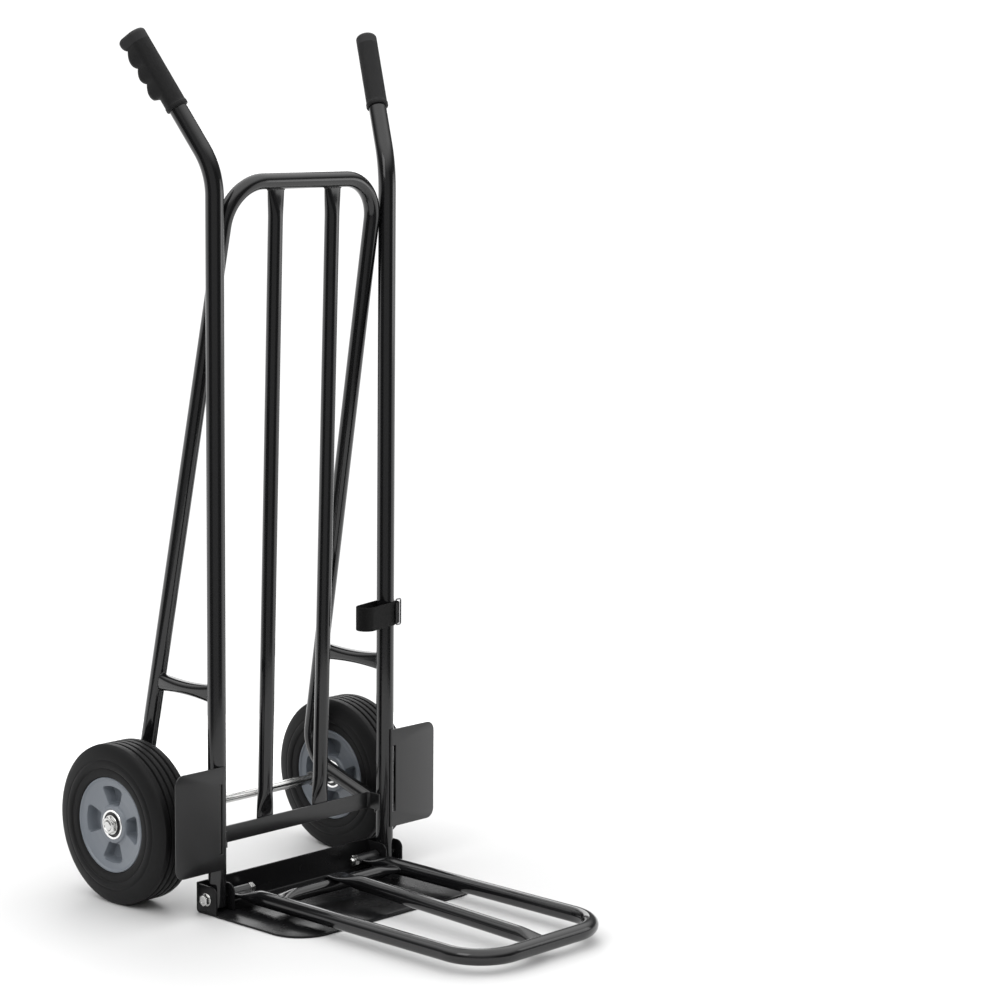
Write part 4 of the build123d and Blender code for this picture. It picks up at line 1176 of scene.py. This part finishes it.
tread_x = np.linspace(-TREAD_HALF + 0.0012, TREAD_HALF - 0.0012, 190)
tread = np.stack([tread_x, tread_radius(tread_x)], -1)
wall = mm((28.2, 124.2), (29.4, 122.8), (31.2, 120.4), (33.2, 115.6), (34.6, 110.6), (35.6, 105.4),
          (36.2, 101.9), (36.0, 101.2), (36.2, 100.4), (37.4, 98.9), (38.0, 97.6), (38.0, 90.6),
          (37.4, 89.4), (36.1, 88.3), (35.9, 87.7), (36.2, 87.0), (36.4, 84.0), (36.1, 79.0),
          (35.6, 76.2), (34.6, 74.9), (33.0, 74.1))
bead_seat = np.array([[0.030, 0.0736], [-0.030, 0.0736]])
tyre = turned(np.concatenate([wall[::-1] * [-1, 1], tread, wall, bead_seat]), AXLE, count=192)
for side, sign in SIDES.items():
    add_piece(f"tyre_rubber_{side}", mirrored([tyre], sign), f"wheel_{side}", tyre_rubber,
              [f"tyre_{side}"], sharp=28)
told("tyre_rubber")

# %% [markdown]
# ## Hubs
# A hub can't be turned alone, because it has four fan-shaped pockets. So it is a grid of radius
# and angle whose depth is a formula of both, with more rows where a pocket's wall falls away.

# %% Hubs
POCKET_DEEP, POCKET_CORNER, WALL_LEAN = 0.018, 0.0055, 0.0022
POCKET_MIDDLE_R, POCKET_HALF_R, POCKET_HALF_ANGLE = 0.045, 0.015, radians(23)


def hub_face(r, t):
    """How far the hub's face stands from the wheel's middle at radius r and angle t: a rim, a dish
    that falls inward and rises to the boss, and four pockets. A pocket's edge is a rounded box in
    radius and in arc length, and its wall leans over WALL_LEAN as it goes down."""
    dish = np.interp(r, mm(23.02, 23.6, 27.4, 28.4, 30.0, 33, 45, 58, 66, 69.6, 71.0, 72.6, 73.6, 74.0),
                     mm(29.4, 30.2, 30.2, 29.8, 27.4, 26.6, 27.4, 29.6, 31.6, 32.8, 34.4, 35.0, 34.6, 33.6))
    from_middle = (t + pi / 4) % (pi / 2) - pi / 4
    across = np.abs(from_middle) * r - POCKET_HALF_ANGLE * r + POCKET_CORNER
    radial = np.abs(r - POCKET_MIDDLE_R) - POCKET_HALF_R + POCKET_CORNER
    outside = np.hypot(np.maximum(across, 0), np.maximum(radial, 0))
    outside = outside + np.minimum(np.maximum(across, radial), 0) - POCKET_CORNER
    wall_share = np.clip(-outside / WALL_LEAN, 0, 1)
    return dish - POCKET_DEEP * wall_share * wall_share * (3 - 2 * wall_share)


def hub_grid(x_middle):
    """Both faces of the hub as one band, from the bore out over one face, round the rim, and back."""
    boss = mm(23.0, 23.02, 23.3, 23.6, 25, 27.0, 27.6, 28.4, 29.2)
    pocket_in, pocket, pocket_out = (np.arange(0.0297, 0.0335, 0.0006), np.linspace(0.034, 0.054, 14),
                                     np.arange(0.0546, 0.0612, 0.0007))
    rim = mm(63, 66, 68, 69.6, 70.2, 71.0, 71.8, 72.6, 73.2, 73.7, 73.98)
    r = np.concatenate([[0.0138], boss, pocket_in, pocket, pocket_out, rim])
    t = np.linspace(0, 2 * pi, 352, endpoint=False)
    rr, tt = np.meshgrid(r, t, indexing="ij")
    x = hub_face(rr, tt)
    x[:2] = mm(18.9)[0]
    points = np.stack([x, rr * np.cos(tt), rr * np.sin(tt)], -1)
    band = np.concatenate([points, points[::-1] * [-1, 1, 1]])
    return Grid(band + [x_middle, AXLE[1], AXLE[2]], wrap=True)


for side, sign in SIDES.items():
    add_piece(f"hub_moulding_{side}", mirrored([hub_grid(AXLE[0])], sign), f"wheel_{side}", hub_plastic,
              [f"hub_{side}"], sharp=38)
told("hub_moulding")

# %% [markdown]
# ## Bearings
# A ball bearing sits in each face of the boss. What shows is two polished races with a dark rubber
# seal between them, a little lower than their faces, so the balls inside are never seen.

# %% Bearings
def race(r_in, r_out, x0, x1, middle):
    """One bearing race: a ring with rounded edges."""
    return washer(middle + x0, middle + x1, r_out, r_in, AXLE)


RACE_FROM, RACE_TO, SEAL_FROM, SEAL_TO = 0.0192, 0.0308, 0.0200, 0.0296
for side, sign in SIDES.items():
    for place, way in (("outer", 1), ("inner", -1)):
        a, b = sorted((way * RACE_FROM, way * RACE_TO))
        races = [race(0.0196, 0.02298, a, b, AXLE[0]), race(0.00812, 0.0112, a, b, AXLE[0])]
        add_piece(f"bearing_races_{place}_{side}", mirrored(races, sign), f"wheel_{side}", polished,
                  [f"bearing_{place}_{side}"])
        a, b = sorted((way * SEAL_FROM, way * SEAL_TO))
        seal = race(0.0110, 0.0198, a, b, AXLE[0])
        seal = mirrored([seal], sign)
        add_piece(f"bearing_seal_{place}_{side}", seal, f"wheel_{side}", seal_black)
told("bearing")

# %% [markdown]
# ## Tie strap
# A webbing strap hangs on one upright as a closed loop, with a wire ring for its free end. In plan the
# loop is the line round two circles. The strap is a flat section carried along it, with threads that
# follow its own UV map, measured in metres.

# %% Tie strap
STRAP_Z = 0.418
NEAR_R, FAR_R = 0.0143, 0.014
FAR_MIDDLE = mm(124, -12.4)
RUN_STEPS = 26


def loop_plan(grow, n=160):
    """The line round two circles in plan: for each outward direction it is the point of whichever
    circle lies further that way, and a straight run of points joins them where that changes."""
    near = np.array([UPRIGHT_X, 0.0])
    t = np.linspace(0, 2 * pi, n, endpoint=False)
    n_out = np.stack([np.cos(t), np.sin(t)], -1)
    far_side = (n_out @ FAR_MIDDLE + FAR_R > n_out @ near + NEAR_R)[:, None]
    points = np.where(far_side, FAR_MIDDLE + (FAR_R + grow) * n_out, near + (NEAR_R + grow) * n_out)
    turn_at = np.flatnonzero(np.roll(far_side[:, 0], -1) != far_side[:, 0])
    share = np.linspace(0, 1, RUN_STEPS)[1:-1, None]
    runs = points[turn_at, None] + share * (np.roll(points, -1, 0) - points)[turn_at, None]
    return np.insert(points, np.repeat(turn_at + 1, len(share)), runs.reshape(-1, 2), axis=0)


def strap_grid(path, closed, z_middle, half_width, half_thick, edge=0.0009):
    """A flat strap standing on edge along a plan line: a rounded rectangle at each station, with UVs in
    metres along the strap and round its section."""
    if closed:
        tangent = np.roll(path, -1, 0) - np.roll(path, 1, 0)
        length = np.linalg.norm(np.roll(path, -1, 0) - path, axis=1)
    else:
        tangent = np.gradient(path, axis=0)
        length = np.append(np.linalg.norm(np.diff(path, axis=0), axis=1), 0)
    tangent = unit(np.column_stack([tangent, np.zeros(len(path))]))
    s = np.concatenate([[0], np.cumsum(length)[:-1]])
    centres = np.column_stack([path, np.broadcast_to(z_middle, len(path))])
    e1 = np.repeat([[0.0, 0.0, 1.0]], len(path), 0)
    side_way = np.cross(tangent, e1)
    rows = 14
    v = np.linspace(-1, 1, rows)
    z = half_width * np.sign(v) * (1 - (1 - np.abs(v)) ** 1.6)
    into_edge = np.maximum(np.abs(z) - (half_width - edge), 0) / edge
    thick = half_thick * np.sqrt(np.clip(1 - into_edge ** 2, 0.05, 1))
    loop_z, loop_d = np.concatenate([z, z[::-1]]), np.concatenate([thick, -thick[::-1]])
    points = centres[:, None] + loop_z[None, :, None] * e1[:, None] + loop_d[None, :, None] * side_way[:, None]
    uv = np.stack(np.broadcast_arrays(s[:, None], loop_z[None, :] + half_width), -1)
    return Grid(points, wrap=closed, uv=uv)


STRAP_HALF_T = 0.001
loop = loop_plan(STRAP_HALF_T)
strap = strap_grid(loop, True, STRAP_Z, 0.019, 0.00095)
tail_corners = [mm(184.5, -17.9, 0), mm(193, -14.0, 0), mm(199.5, -10.6, 0), mm(201.4, -6.5, 0),
                mm(199.6, -1.5, 0), mm(197.8, 2.5, 0)]
tail_path, _ = rounded_path(tail_corners, mm(9, 4, 4, 6), arc_steps=8, run=0.003)
tail = strap_grid(tail_path[:, :2], False, STRAP_Z, 0.0172, 0.0008)
add_piece("tie_strap_webbing", [strap, tail], "frame", webbing, ["tie_strap"], sharp=50)
steps = np.linalg.norm(np.roll(loop, -1, 0) - loop, axis=1)
print("strap loop is", round(float(steps.sum()) / MM), "mm round")

# %% [markdown]
# ## Strap ring
# The strap's free end goes through a flat rectangle of steel wire. Its line is a rounded rectangle
# drawn inside the node's box, and a small circle is carried round it.

# %% Strap ring
ring_low, ring_high = box("strap_ring")
ring_mid = (ring_low + ring_high) / 2
WIRE_R, RING_CORNER_R = 0.0013, 0.0028
ring_plan = rounded_box(ring_low[[0, 2]] + WIRE_R, ring_high[[0, 2]] - WIRE_R, RING_CORNER_R, steps=8)
ring_line = np.column_stack([ring_plan[:, 0], np.full(len(ring_plan), ring_mid[1]), ring_plan[:, 1]])
ring_way = unit(np.roll(ring_line, -1, 0) - np.roll(ring_line, 1, 0))
ring_wide = np.repeat([[0.0, 1.0, 0.0]], len(ring_line), 0)
wire = Grid(rings(ring_line, ring_way, ring_wide, WIRE_R, count=16), wrap=True)
add_piece("strap_wire_ring", [wire], "frame", ring_steel, ["strap_ring"])
print("ring is", np.round((ring_high - ring_low) / MM, 1).tolist(), "mm")

# %% [markdown]
# ## Close
# The pieces and their faces are counted, and any imported node that is still shown is listed.

# %% Pieces and nodes still shown
left = [name for name, part in frame["nodes"].items() if not part.hide_render]
print(len(made), "pieces,", sum(made.values()), "faces; nodes still shown:", left)
